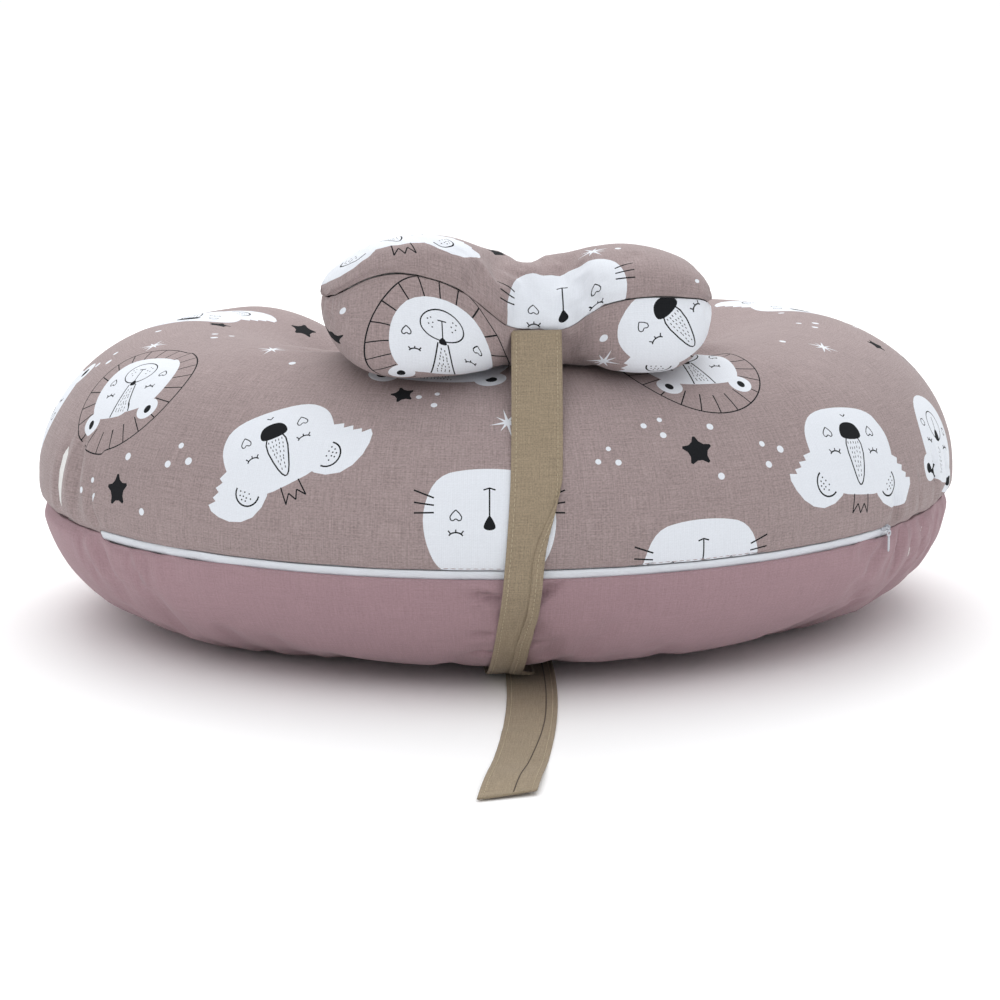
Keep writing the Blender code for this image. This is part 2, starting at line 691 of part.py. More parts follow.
def strap(look):
    angle = strap_angle(0)
    knot_front = FRONT_RADIUS + KNOT_OFFSET + KNOT_SIZE.y / 2 + FIT_GAP
    knot_back = FRONT_RADIUS + KNOT_OFFSET - KNOT_SIZE.y / 2 - 2 * FIT_GAP
    heading = Vector((math.sin(angle), -math.cos(angle)))
    return [
        lofted_solid("strap_front", strap_rows(front_path(), 1), look),
        lofted_solid("strap_rear", strap_rows(rear_path(), -1), look),
        knot(look),
        tail("strap_tail_front", heading * knot_front + TAIL_START, TAIL_END, TAIL_BOW, look),
        tail("strap_tail_rear", heading * knot_back, REAR_TAIL_END, REAR_TAIL_BOW, look),
    ]


def main():
    clear_scene()
    looks = {
        "print": material("printed_cotton", (0.36, 0.29, 0.29), 0.85),
        "plain": material("pink_cotton", (0.33, 0.22, 0.25), 0.85),
        "casing": material("casing_fleece", (0.85, 0.85, 0.83), 0.9),
        "filling": material("fibre_filling", (0.90, 0.90, 0.88), 0.95),
        "strap": material("beige_cotton", (0.34, 0.27, 0.19), 0.85),
        "zip": material("white_nylon", (0.85, 0.86, 0.88), 0.45),
        "metal": material("white_enamel", (0.80, 0.81, 0.83), 0.35, 0.2),
    }
    cover = {"depth": 0.0, "thickness": COVER_THICKNESS, "dip": COVER_DIP, "window": ZIP_WINDOW}
    casing = {"depth": CASING_DEPTH, "thickness": CASING_THICKNESS, "dip": CASING_DIP, "window": SEAM_GAP}
    panel("cover_top_panel", 1, **cover, look=looks["print"])
    panel("cover_bottom_panel", -1, **cover, look=looks["plain"])
    panel("inner_casing_top", 1, **casing, look=looks["casing"])
    panel("inner_casing_bottom", -1, **casing, look=looks["casing"])
    main_filling(looks["filling"])
    zip_chain(looks)
    zip_slider(looks["metal"])
    zip_pull_tab(looks["metal"])
    axis = bpy.data.objects.new("head_pillow_axis", None)
    axis.location = (0, AXIS_Y, 0)
    bpy.context.scene.collection.objects.link(axis)
    for piece in head_pillow(looks) + strap(looks["strap"]):
        piece.data.transform(Matrix.Translation(-axis.location))
        piece.parent = axis


main()
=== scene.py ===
"""Nursing pillow, looks: printed and plain cotton covers, nylon zip, head pillow and tied strap.

Everything is in metres in the CAD frame. -Y is the front, where the zip is. "turn" is an angle about the
vertical axis through the front arc's centre, from -Y towards +X. On the main pillow U runs along the
centreline, and V runs across a panel from the outer seam to the inner seam.
"""

import math

import bpy
import numpy as np
from mathutils import Matrix, Vector
from mathutils.geometry import delaunay_2d_cdt


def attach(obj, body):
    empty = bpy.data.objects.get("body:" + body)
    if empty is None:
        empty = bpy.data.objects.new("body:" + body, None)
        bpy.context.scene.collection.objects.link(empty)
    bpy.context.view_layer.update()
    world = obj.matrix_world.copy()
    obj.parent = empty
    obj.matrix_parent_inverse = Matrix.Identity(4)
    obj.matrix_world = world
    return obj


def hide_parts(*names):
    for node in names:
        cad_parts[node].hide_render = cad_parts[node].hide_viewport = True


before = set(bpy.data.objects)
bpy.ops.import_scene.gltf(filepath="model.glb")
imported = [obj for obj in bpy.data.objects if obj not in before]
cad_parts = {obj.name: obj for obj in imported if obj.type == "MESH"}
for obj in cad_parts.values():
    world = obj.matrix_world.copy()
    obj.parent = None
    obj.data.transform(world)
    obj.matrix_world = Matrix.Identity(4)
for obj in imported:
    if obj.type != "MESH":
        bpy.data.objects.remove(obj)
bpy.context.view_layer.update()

MM = 0.001
UP = np.array([0, 0, 1.0])

# Main pillow, as in the CAD
AXIS_Y = 0.1695
FRONT_RADIUS = 0.2152
FRONT_HALF = math.radians(62)
ARM_RADIUS = 0.122
ARM_END = math.radians(142)
TIP_LENGTH = 0.090
HALF_WIDTH = 0.1085
HALF_HEIGHT = 0.098
SEAM_HEIGHT = 0.086
BOTTOM_SQUARENESS = 0.9
BOTTOM_PRESS = 1.03
STRAPPED_PRESS = 1.0
STRAPPED_HALF = math.radians(46)
STRAPPED_FADE = math.radians(10)
UNDERSIDE_LIFT = 2.6 * MM
LIFTED_HALF = math.radians(52)
LIFTED_FADE = math.radians(8)
LIFTED_HEIGHT = 0.02
SEAM_ANGLE = math.asin((SEAM_HEIGHT - HALF_HEIGHT) / HALF_HEIGHT)
SEAM_RADIUS = FRONT_RADIUS + HALF_WIDTH * math.cos(SEAM_ANGLE)
FRONT_LENGTH = FRONT_RADIUS * FRONT_HALF
ARM_LENGTH = FRONT_LENGTH + ARM_RADIUS * (ARM_END - FRONT_HALF)
FULL_LENGTH = ARM_LENGTH + TIP_LENGTH * math.pi / 2

# Zip, as in the CAD
ZIP_LEFT = math.radians(-59.5)
ZIP_RIGHT = math.radians(43.6)
ZIP_WINDOW = 3.2 * MM
SLIDER_LENGTH = 8.4 * MM
STOP_LENGTH = 2.4 * MM
FIT_GAP = 0.3 * MM
SLIDER_TURN = ZIP_RIGHT - (STOP_LENGTH + 2 * FIT_GAP + SLIDER_LENGTH / 2) / SEAM_RADIUS

# Head pillow, as in the CAD but for the belly, which is shallower because its cloth swells here
HEAD_TURN = math.radians(-3)
HEAD_LEFT = -0.127
HEAD_RIGHT = 0.1135
HEAD_WAIST = 0.004
HEAD_WAIST_DEPTH = 0.041
HEAD_WAIST_LENGTH = 0.07
HEAD_END_ROUNDNESS = 3.5
HEAD_LOW_END_ROUNDNESS = 7.0
HEAD_ARCH = 0.4
HEAD_REST_GAP = 0.8 * MM
LOBE_ROUNDNESS = 2.3
HEAD_BELLY = 0.0045
HEAD_BELLY_START = 0.04
LEFT_LOBE = (-0.067, 0.060, 0.068)
RIGHT_LOBE = (0.0675, 0.046, 0.064)
HEAD_FRONT_SEAM = (
    (-127, 238),
    (-102, 255),
    (-78, 258),
    (-46, 247),
    (-17, 224),
    (4, 220),
    (20, 221),
    (38, 236),
    (64, 242),
    (98, 239),
    (113.5, 232),
)
HEAD_MIDDLE_SEAM = ((-127, 238), (-78, 237), (4, 221), (64, 234), (113.5, 232))
HEAD_CROWN = ((-127, 271), (-60, 271), (5, 256), (60, 267), (113.5, 267))

# Strap, as in the CAD
STRAP_WIDTH = 0.031
STRAP_TURN_AT_FLOOR = math.radians(-6.4)
STRAP_LEAN = math.radians(15.5)
STRAP_TOP = 0.2205
STRAP_TOP_OFFSET = 0.0435
STRAP_FLOOR_HEIGHT = 1.7 * MM
KNOT_OFFSET = -0.0915
TAIL_END = (-0.0705, -0.4854)
REAR_TAIL_END = (0.016, -0.066)

# Cloth and stitches
COVER_THICKNESS = 0.7 * MM
STITCH_PITCH = 3.0 * MM
STITCH_SHARE = 0.72
HEM = 3.0 * MM


def smooth(x):
    x = np.clip(x, 0.0, 1.0)
    return x * x * (3 - 2 * x)


def lattice_noise(x, y, seed):
    """Smooth value noise in -1..1 at two coordinates of about one feature per unit."""
    size = 64
    table = np.random.default_rng(seed).uniform(-1, 1, (size, size))
    ix, iy = np.floor(x).astype(int), np.floor(y).astype(int)
    fx, fy = smooth(x - ix), smooth(y - iy)

    def row(j):
        return table[ix % size, j % size] * (1 - fx) + table[(ix + 1) % size, j % size] * fx

    return row(iy) * (1 - fy) + row(iy + 1) * fy


def unit(vectors):
    """The same directions at length 1."""
    return vectors / (np.linalg.norm(vectors, axis=-1)[..., None] + 1e-15)


def distances(points):
    """The distance along a row of points from its first one."""
    return np.concatenate([[0], np.cumsum(np.linalg.norm(np.diff(points, axis=0), axis=1))])


def link_object(name, data):
    made = bpy.data.objects.new(name, data)
    bpy.context.scene.collection.objects.link(made)
    return made


def stands_for(node):
    """Hides a node's CAD part, since a piece now stands in its place."""
    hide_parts(node)


# ---- camera and lights


VIEW_AZIMUTH = math.radians(9.636)
VIEW_ELEVATION = math.radians(11.698)
VIEW_DISTANCE = 1.7741
VIEW_PIVOT = (0, 0.0743, 0.09)
VIEW_RIGHT_SHIFT = 0.008
VIEW_UP_SHIFT = 0.0082
FOCAL_LENGTH = 94.26
SENSOR_WIDTH = 36
SKY_COLOUR = (0.985, 0.99, 1.0)
SKY_HORIZON = 0.34
SKY_OVERHEAD = 1.12
FLOOR_SIZE = 120.0
FLOOR_STEPS = 8
FLOOR_WHITE = (0.98, 0.98, 0.98)

# name, place, target, width and height in metres, power in watts
SOFTBOXES = (
    ("softbox_back", (0.15, 1.5, 1.75), (0, 0.0, 0.1), (2.4, 1.4), 24),
    ("softbox_front", (-1.0, -1.9, 1.9), (0, 0, 0.12), (1.6, 1.2), 3),
)


def look_from_the_front():
    camera = link_object("camera", bpy.data.cameras.new("camera"))
    c, s = math.cos(VIEW_AZIMUTH), math.sin(VIEW_AZIMUTH)
    level, climb = math.cos(VIEW_ELEVATION), math.sin(VIEW_ELEVATION)
    right = Vector((c, -s, 0))
    up = Vector((s * climb, c * climb, level))
    ahead = Vector((s * level, c * level, -climb))
    place = Vector(VIEW_PIVOT) - right * VIEW_RIGHT_SHIFT - up * VIEW_UP_SHIFT - ahead * VIEW_DISTANCE
    turn = Matrix((right, up, -ahead)).transposed().to_4x4()
    camera.matrix_world = Matrix.Translation(place) @ turn
    camera.data.lens = FOCAL_LENGTH
    camera.data.sensor_width = SENSOR_WIDTH
    camera.data.clip_start = 0.05
    camera.data.clip_end = 300
    bpy.context.scene.camera = camera


def sky():
    """A sky that is dim at the horizon and bright overhead."""
    world = bpy.data.worlds.new("studio")
    bpy.context.scene.world = world
    world.use_nodes = True
    tree = world.node_tree
    shade = tree.nodes["Background"]
    shade.inputs["Color"].default_value = (*SKY_COLOUR, 1)
    place = tree.nodes.new("ShaderNodeTexCoord")
    parts = tree.nodes.new("ShaderNodeSeparateXYZ")
    height = tree.nodes.new("ShaderNodeMath")
    height.operation = "MAXIMUM"
    height.inputs[1].default_value = 0.0
    glow = tree.nodes.new("ShaderNodeMath")
    glow.operation = "MULTIPLY_ADD"
    glow.inputs[1].default_value = SKY_OVERHEAD
    glow.inputs[2].default_value = SKY_HORIZON
    tree.links.new(place.outputs["Generated"], parts.inputs[0])
    tree.links.new(parts.outputs["Z"], height.inputs[0])
    tree.links.new(height.outputs[0], glow.inputs[0])
    tree.links.new(glow.outputs[0], shade.inputs["Strength"])


def softbox(name, place, target, size, power):
    light = bpy.data.lights.new(name, "AREA")
    light.energy = power
    light.shape = "RECTANGLE"
    light.size, light.size_y = size
    item = link_object(name, light)
    item.location = place
    item.rotation_euler = (Vector(target) - Vector(place)).to_track_quat("-Z", "Y").to_euler()


def paper_floor():
    verts, faces = [], []
    for i in range(FLOOR_STEPS + 1):
        for k in range(FLOOR_STEPS + 1):
            verts.append((FLOOR_SIZE * (i / FLOOR_STEPS - 0.5), FLOOR_SIZE * (k / FLOOR_STEPS - 0.5), 0))
    for i in range(FLOOR_STEPS):
        for k in range(FLOOR_STEPS):
            a = i * (FLOOR_STEPS + 1) + k
            faces.append((a, a + FLOOR_STEPS + 1, a + FLOOR_STEPS + 2, a + 1))
    mesh = bpy.data.meshes.new("floor")
    mesh.from_pydata(verts, [], faces)
    n = Nodes("floor_paper")
    n.values({"Base Color": (*FLOOR_WHITE, 1), "Roughness": 0.9, "Specular IOR Level": 0.1})
    mesh.materials.append(n.look)
    link_object("floor", mesh)


# ---- materials


class Nodes:
    """A short way to write a node tree."""

    def __init__(self, name):
        self.look = bpy.data.materials.new(name)
        self.look.use_nodes = True
        self.tree = self.look.node_tree
        self.shader = self.tree.nodes["Principled BSDF"]

    def add(self, kind, inputs=None, **settings):
        node = self.tree.nodes.new("ShaderNode" + kind)
        for key, value in settings.items():
            setattr(node, key, value)
        for key, value in (inputs or {}).items():
            socket = node.inputs[key]
            if isinstance(value, bpy.types.NodeSocket):
                self.tree.links.new(value, socket)
            else:
                socket.default_value = value
        return node

    def maths(self, operation, a, b=0.0):
        return self.add("Math", {0: a, 1: b}, operation=operation).outputs[0]

    def level(self, value, factor, base):
        return self.maths("ADD", self.maths("MULTIPLY", value, factor), base)

    def about_half(self, value, factor):
        return self.maths("MULTIPLY", self.maths("SUBTRACT", value, 0.5), factor)

    def noise(self, source, scale, detail, **more):
        inputs = {"Vector": source, "Scale": scale, "Detail": detail, **more}
        return self.add("TexNoise", inputs).outputs["Fac"]

    def link(self, source, target):
        self.tree.links.new(source, self.shader.inputs[target])

    def values(self, settings):
        for key, value in settings.items():
            self.shader.inputs[key].default_value = value

    def paint(self, colour, tone):
        """A colour made lighter and darker by a tone about 1."""
        grey = self.add("CombineColor", {0: tone, 1: tone, 2: tone}).outputs[0]
        mix = {0: 1.0, 6: (*colour, 1.0), 7: grey}
        self.link(self.add("Mix", mix, data_type="RGBA", blend_type="MULTIPLY").outputs[2], "Base Color")

    def emboss(self, height, distance, strength):
        lump = self.add("Bump", {"Height": height, "Distance": distance, "Strength": strength})
        self.link(lump.outputs[0], "Normal")


def cotton(
    name, colour, thread=0.42 * MM, slub=0.10, bump=0.35, sheen=0.12, shade=0.07, specular=0.22, uv=True
):
    """Plain-weave cotton: crossed threads, uneven yarn and soft colour drift. The map is in metres."""
    n = Nodes(name)
    source = n.add("UVMap", uv_map="cloth").outputs["UV"] if uv else n.add("TexCoord").outputs["Object"]
    parts = n.add("SeparateXYZ", {0: source})
    x, y = parts.outputs["X"], parts.outputs["Y"]
    shift = n.about_half(n.noise(source, 180.0, 2.0), 2.2)
    waves = []
    for axis in (x, y):
        phase = n.maths("ADD", n.maths("MULTIPLY", axis, math.tau / 2 / thread), shift)
        waves.append(n.maths("MULTIPLY", n.maths("ADD", n.maths("SINE", phase), 1.0), 0.5))
    over = n.maths("MULTIPLY", n.maths("SINE", n.maths("MULTIPLY", x, math.tau / 4 / thread)), 0.5)
    under = n.maths("SINE", n.maths("MULTIPLY", y, math.tau / 4 / thread))
    check = n.level(over, under, 0.5)
    mixed = n.add("Mix", {0: check, 2: waves[0], 3: waves[1]}, data_type="FLOAT").outputs[0]
    yarns = []
    for stretch in ((2200.0, 60.0, 1.0), (60.0, 2200.0, 1.0)):
        spread = n.add("Mapping", {"Vector": source, "Scale": stretch})
        yarns.append(n.noise(spread.outputs[0], 1.0, 2.0))
    yarn = n.maths("MULTIPLY", n.maths("ADD", yarns[0], yarns[1]), 0.5)
    fuzz = n.noise(source, 900.0, 3.0)
    drift = n.noise(source, 14.0, 2.0)
    tone = n.maths("ADD", n.about_half(yarn, slub * 3.6), 1.0)
    for value, factor in ((fuzz, slub * 2.4), (drift, shade), (mixed, 0.06)):
        tone = n.maths("ADD", tone, n.about_half(value, factor))
    n.paint(colour, tone)
    n.emboss(n.maths("ADD", mixed, n.maths("MULTIPLY", yarn, 1.4)), 0.10 * MM, bump)
    n.link(n.level(fuzz, 0.12, 0.80), "Roughness")
    n.values({"Sheen Weight": sheen, "Sheen Roughness": 0.45, "Specular IOR Level": specular})
    return n.look


def nylon(name, colour, roughness=0.42):
    """Zip nylon or enamelled metal: nearly smooth, with a little moulded grain and grime."""
    n = Nodes(name)
    source = n.add("TexCoord").outputs["Object"]
    fine = n.noise(source, 2600.0, 3.0)
    n.paint(colour, n.level(n.noise(source, 120.0, 2.0), 0.10, 0.93))
    n.emboss(fine, 0.04 * MM, 0.15)
    n.link(n.level(fine, 0.12, roughness), "Roughness")
    return n.look


def ribbed_tape(name, colour):
    """Woven zip tape: close ribs across the tape."""
    n = Nodes(name)
    source = n.add("UVMap", uv_map="cloth").outputs["UV"]
    parts = n.add("SeparateXYZ", {0: source})
    rib = n.maths("SINE", n.maths("MULTIPLY", parts.outputs["X"], math.tau / (0.5 * MM)))
    cross = n.maths("SINE", n.maths("MULTIPLY", parts.outputs["Y"], math.tau / (0.55 * MM)))
    weave = n.maths("MULTIPLY", rib, cross)
    drift = n.noise(source, 60.0, 2.0)
    n.paint(colour, n.level(weave, 0.035, n.level(drift, 0.08, 0.95)))
    n.emboss(weave, 0.08 * MM, 0.5)
    n.link(n.level(drift, 0.1, 0.55), "Roughness")
    n.values({"Sheen Weight": 0.08})
    return n.look


def fibre(name, colour, scale):
    """Brushed fleece or loose fibre."""
    n = Nodes(name)
    tuft = n.noise(n.add("TexCoord").outputs["Object"], scale, 5.0, Distortion=1.5)
    n.paint(colour, n.level(tuft, 0.16, 0.88))
    n.emboss(tuft, 0.6 * MM, 0.6)
    n.link(n.level(tuft, 0.08, 0.88), "Roughness")
    n.values({"Sheen Weight": 0.3})
    return n.look


TAUPE = (0.322, 0.254, 0.250)
PINK = (0.350, 0.230, 0.252)
BEIGE = (0.300, 0.240, 0.166)
WHITE = (0.74, 0.77, 0.82)
BLACK = (0.013, 0.014, 0.016)


def make_looks():
    return {
        "taupe": cotton("cotton_taupe", TAUPE, slub=0.34, shade=0.10, bump=0.6),
        "white": cotton("cotton_print_white", WHITE, slub=0.05, shade=0.03),
        "black": cotton("cotton_print_black", BLACK, slub=0.2, sheen=0.02, specular=0.08),
        "pink": cotton("cotton_pink", PINK, slub=0.16, shade=0.10, bump=0.55),
        "beige": cotton("cotton_beige", BEIGE, slub=0.34, thread=0.5 * MM, bump=0.8, shade=0.12),
        # Dark brown for the line along the strap's closing edge: painted shade in the edge's groove, not the
        # cloth's colour.
        "painted_edge_shade": cotton("cotton_painted_edge_shade", (0.075, 0.055, 0.040), slub=0.1),
        "beige_thread": cotton("thread_beige", (0.50, 0.42, 0.30), slub=0.05, uv=False),
        "taupe_thread": cotton("thread_taupe", (0.42, 0.33, 0.33), slub=0.05, uv=False),
        "pink_thread": cotton("thread_pink", (0.42, 0.28, 0.31), slub=0.05, uv=False),
        "tape": ribbed_tape("zip_tape_white", WHITE),
        "coil": nylon("zip_coil_nylon", (0.72, 0.74, 0.78)),
        "metal": nylon("zip_enamel", (0.55, 0.57, 0.62), roughness=0.22),
        "fleece": fibre("casing_fleece_look", (0.80, 0.80, 0.78), 900.0),
        "fibre": fibre("filling_fibre_look", (0.84, 0.84, 0.82), 300.0),
    }


# ---- meshes


def add_object(name, verts, faces, looks, body, uv=None, normals=None, slots=None):
    """A mesh object that rides on a body. uv is per vertex, slots per face."""
    mesh = bpy.data.meshes.new(name)
    if isinstance(faces, np.ndarray):
        mesh.vertices.add(len(verts))
        mesh.vertices.foreach_set("co", np.asarray(verts, np.float32).ravel())
        mesh.loops.add(faces.size)
        mesh.loops.foreach_set("vertex_index", faces.ravel().astype(np.int32))
        mesh.polygons.add(len(faces))
        mesh.polygons.foreach_set("loop_start", (np.arange(len(faces)) * faces.shape[1]).astype(np.int32))
        mesh.update(calc_edges=True)
    else:
        mesh.from_pydata([tuple(v) for v in verts], [], faces)
    mesh.validate()
    for look in looks:
        mesh.materials.append(look)
    if slots is not None:
        mesh.polygons.foreach_set("material_index", np.asarray(slots, np.int32))
    mesh.polygons.foreach_set("use_smooth", np.ones(len(mesh.polygons), bool))
    if uv is not None:
        layer = mesh.uv_layers.new(name="cloth")
        corner = np.empty(len(mesh.loops), np.int32)
        mesh.loops.foreach_get("vertex_index", corner)
        layer.data.foreach_set("uv", np.asarray(uv, np.float32)[corner].ravel())
    if normals is not None:
        mesh.normals_split_custom_set_from_vertices([tuple(v) for v in normals])
    mesh.update()
    made = link_object(name, mesh)
    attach(made, body)
    return made


def tube_faces(rows, columns, start=0):
    """Quads and end caps of a closed tube whose rows are stored one after another."""
    faces = []
    for i in range(rows - 1):
        for k in range(columns):
            a, b = start + i * columns + k, start + i * columns + (k + 1) % columns
            faces.append((a, b, b + columns, a + columns))
    faces.append(tuple(start + k for k in reversed(range(columns))))
    faces.append(tuple(start + (rows - 1) * columns + k for k in range(columns)))
    return faces


def pole_faces(rows, columns):
    """Faces of a form whose rings are stored one after another, and after them its first and last poles."""
    faces = []
    for i in range(rows - 1):
        for k in range(columns):
            a, b = i * columns + k, i * columns + (k + 1) % columns
            faces.append((a, a + columns, b + columns, b))
    low, last = rows * columns, (rows - 1) * columns
    for k in range(columns):
        faces.append((low, k, (k + 1) % columns))
        faces.append((low + 1, last + (k + 1) % columns, last + k))
    return faces


TAPERED_END = 0.45


class Heap:
    """Gathers many small closed tubes into one mesh."""

    def __init__(self):
        self.verts, self.faces = [], []

    def tube(self, path, radius, sides, up, flat=1.0, taper=True):
        """A rounded tube along a path; flat squeezes it along its second axis."""
        path = np.asarray(path, float)
        ahead = unit(np.gradient(path, axis=0))
        side = unit(np.cross(ahead, np.asarray(up, float)))
        lift = np.cross(side, ahead)
        radii = np.full(len(path), radius)
        if taper:
            radii[[0, -1]] *= TAPERED_END
        start = len(self.verts)
        for i in range(len(path)):
            for k in range(sides):
                turn = math.tau * k / sides
                reach = side[i] * math.cos(turn) + lift[i] * math.sin(turn) * flat
                self.verts.append(path[i] + reach * radii[i])
        self.faces += tube_faces(len(path), sides, start)

    def build(self, name, look, body):
        return add_object(name, self.verts, self.faces, [look], body)


# ---- the main pillow's surface


def section(phi, press=STRAPPED_PRESS):
    rise = np.sin(phi)
    rise = np.where(rise < 0, -press * np.abs(rise) ** BOTTOM_SQUARENESS, rise)
    return HALF_WIDTH * np.cos(phi), np.maximum(HALF_HEIGHT * (1 + rise), 0.0)


def arc_table(last):
    phi = np.linspace(SEAM_ANGLE, last, 2001)
    offset, height = section(phi)
    return phi, distances(np.stack([offset, height], -1))


TOP_PHI, TOP_ALONG = arc_table(math.pi - SEAM_ANGLE)
LOW_PHI, LOW_ALONG = arc_table(-math.pi - SEAM_ANGLE)
PANEL_WIDTH = {1: TOP_ALONG[-1], -1: LOW_ALONG[-1]}


def phi_at(side, across):
    if side > 0:
        return np.interp(across, TOP_ALONG, TOP_PHI)
    return np.interp(across, LOW_ALONG, LOW_PHI)


def centreline(along):
    """Point and outward direction in plan, section scale and turn at distances along the pillow."""
    sign = np.where(along < 0, -1.0, 1.0)
    u = np.abs(along)
    arm = np.minimum(FRONT_HALF + (u - FRONT_LENGTH) / ARM_RADIUS, ARM_END)
    turn = np.where(u < FRONT_LENGTH, u / FRONT_RADIUS, arm)
    hub = np.where(u < FRONT_LENGTH, 0.0, FRONT_RADIUS - ARM_RADIUS)
    radius = np.where(u < FRONT_LENGTH, FRONT_RADIUS, ARM_RADIUS)
    swing = np.clip((u - ARM_LENGTH) / TIP_LENGTH, 0, math.pi / 2)
    x = math.sin(FRONT_HALF) * hub + radius * np.sin(turn) + TIP_LENGTH * np.sin(swing) * np.cos(turn)
    y = -math.cos(FRONT_HALF) * hub - radius * np.cos(turn) + TIP_LENGTH * np.sin(swing) * np.sin(turn)
    return sign * x, y, sign * np.sin(turn), -np.cos(turn), np.cos(swing), sign * turn


def base_surface(along, phi):
    x, y, out_x, out_y, scale, turn = centreline(along)
    strapped = np.clip((STRAPPED_HALF - np.abs(turn)) / STRAPPED_FADE, 0, 1)
    offset, height = section(phi, BOTTOM_PRESS + (STRAPPED_PRESS - BOTTOM_PRESS) * strapped)
    lift = UNDERSIDE_LIFT * np.clip((LIFTED_HALF - np.abs(turn)) / LIFTED_FADE, 0, 1)
    height = np.where(phi < 0, height + lift * smooth(1 - height / LIFTED_HEIGHT), height)
    reach = offset * scale
    height = SEAM_HEIGHT + (height - SEAM_HEIGHT) * scale
    return np.stack([x + out_x * reach, AXIS_Y + y + out_y * reach, height], -1)


class Skin:
    """A closed surface through a grid whose first and last rows are poles, read anywhere by bicubic steps."""

    def __init__(self, grid):
        self.rows, self.columns = grid.shape[:2]
        half = self.columns // 2
        before = [np.roll(grid[k], half, axis=0) for k in (2, 1)]
        after = [np.roll(grid[-1 - k], half, axis=0) for k in (1, 2)]
        self.grid = np.concatenate([before, grid, after])

    @staticmethod
    def weights(t):
        return np.stack(
            [
                -0.5 * t + t**2 - 0.5 * t**3,
                1 - 2.5 * t**2 + 1.5 * t**3,
                0.5 * t + 2 * t**2 - 1.5 * t**3,
                -0.5 * t**2 + 0.5 * t**3,
            ]
        )

    def points(self, a, b):
        a = np.clip(a, 0, self.rows - 1)
        i = np.minimum(np.floor(a).astype(int), self.rows - 2)
        j = np.floor(b).astype(int)
        wa, wb = self.weights(a - i), self.weights(b - j)
        found = 0
        for p in range(4):
            for q in range(4):
                corner = self.grid[i + 1 + p, (j - 1 + q) % self.columns]
                found = found + (wa[p] * wb[q])[..., None] * corner
        return found


CLOTH_FRAMES = 20
CLOTH = {
    "quality": 5,
    "mass": 0.2,
    "tension_stiffness": 12,
    "compression_stiffness": 12,
    "shear_stiffness": 6,
    "bending_stiffness": 0.25,
    "use_pressure": True,
    "vertex_group_mass": "pin",
    "pin_stiffness": 0.6,
    "air_damping": 4,
}


def inflate(grid, pinned, pressure, growth):
    """Runs Blender's cloth on a pole-to-pole grid, and gives the grid back as the fabric settles."""
    rows, columns = grid.shape[:2]
    inner = grid[1:-1].reshape(-1, 3)
    verts = np.concatenate([inner, grid[0, :1], grid[-1, :1]])
    low, high = len(inner), len(inner) + 1
    mesh = bpy.data.meshes.new("cloth_form")
    mesh.from_pydata([tuple(v) for v in verts], [], pole_faces(rows - 2, columns))
    item = link_object("cloth_form", mesh)
    scene = bpy.context.scene
    group = item.vertex_groups.new(name="pin")
    group.add([low, high], 1.0, "REPLACE")
    group.add([int(index) for index in np.nonzero(pinned[1:-1].reshape(-1))[0]], 1.0, "REPLACE")
    cloth = item.modifiers.new("cloth", "CLOTH")
    for key, value in CLOTH.items():
        setattr(cloth.settings, key, value)
    cloth.settings.uniform_pressure_force = pressure
    cloth.settings.effector_weights.gravity = 0
    cloth.settings.shrink_min = -growth
    cloth.collision_settings.use_collision = False
    cloth.point_cache.frame_start = 1
    cloth.point_cache.frame_end = CLOTH_FRAMES
    for step in range(1, CLOTH_FRAMES + 1):
        scene.frame_set(step)
    graph = bpy.context.evaluated_depsgraph_get()
    settled = item.evaluated_get(graph).to_mesh()
    points = np.empty(len(verts) * 3, np.float32)
    settled.vertices.foreach_get("co", points)
    points = points.reshape(-1, 3).astype(float)
    bpy.data.objects.remove(item)
    scene.frame_set(1)
    out = grid.copy()
    out[1:-1] = points[: len(inner)].reshape(rows - 2, columns, 3)
    out[0], out[-1] = points[low], points[high]
    return out


def settle(grid, pinned, pressure, growth):
    """How the cloth settles from a grid: how far outward, how far along itself, and the grid's normals."""
    moved = inflate(grid, pinned, pressure, growth) - grid
    normals = grid_normals(grid)
    out = (moved * normals).sum(-1)
    return out, moved - normals * out[..., None], normals


def soft_limit(value, low, high):
    return np.where(value > 0, high * np.tanh(value / high), low * np.tanh(value / low))


def grid_normals(grid):
    along = np.gradient(grid, axis=0)
    around = np.roll(grid, -1, axis=1) - np.roll(grid, 1, axis=1)
    return unit(np.cross(along, around))


TOP_STEPS = 44
LOW_STEPS = 38
ALONG_STEPS = 136
SWELL_LIMIT = 4.0 * MM
HELD_SWELL_LIMIT = 0.7 * MM


def main_skin():
    along = np.linspace(-FULL_LENGTH, FULL_LENGTH, ALONG_STEPS + 1)
    top = phi_at(1, PANEL_WIDTH[1] * np.arange(TOP_STEPS) / TOP_STEPS)
    low = phi_at(-1, PANEL_WIDTH[-1] * (1 - np.arange(LOW_STEPS) / LOW_STEPS))
    phi = np.concatenate([top, low])
    aa, pp = np.meshgrid(along, phi, indexing="ij")
    grid = base_surface(aa, pp)
    pinned = np.zeros(grid.shape[:2])
    pinned[:, 0] = 1
    pinned[:, TOP_STEPS] = 1
    pinned[grid[..., 2] < 3 * MM] = 1
    out, slide, normals = settle(grid, pinned, pressure=3.0, growth=0.018)
    turn = np.degrees(np.arctan2(grid[..., 0], AXIS_Y - grid[..., 1]))
    # Round the strap and under the head pillow the cloth is held down, and swells less.
    held = smooth((44 - np.abs(turn + 6)) / 10)
    out = out - held * 0.6 * np.maximum(out, 0)
    out = soft_limit(out, SWELL_LIMIT, SWELL_LIMIT * (1 - held) + HELD_SWELL_LIMIT * held)
    # Near the floor it doesn't swell outward at all.
    clear = smooth((grid[..., 2] - 1 * MM) / (12 * MM))
    out = np.where(out > 0, out * clear, out)
    return Skin(grid + normals * out[..., None] + slide * 0.5)


# ---- creases and dents, placed on the cloth


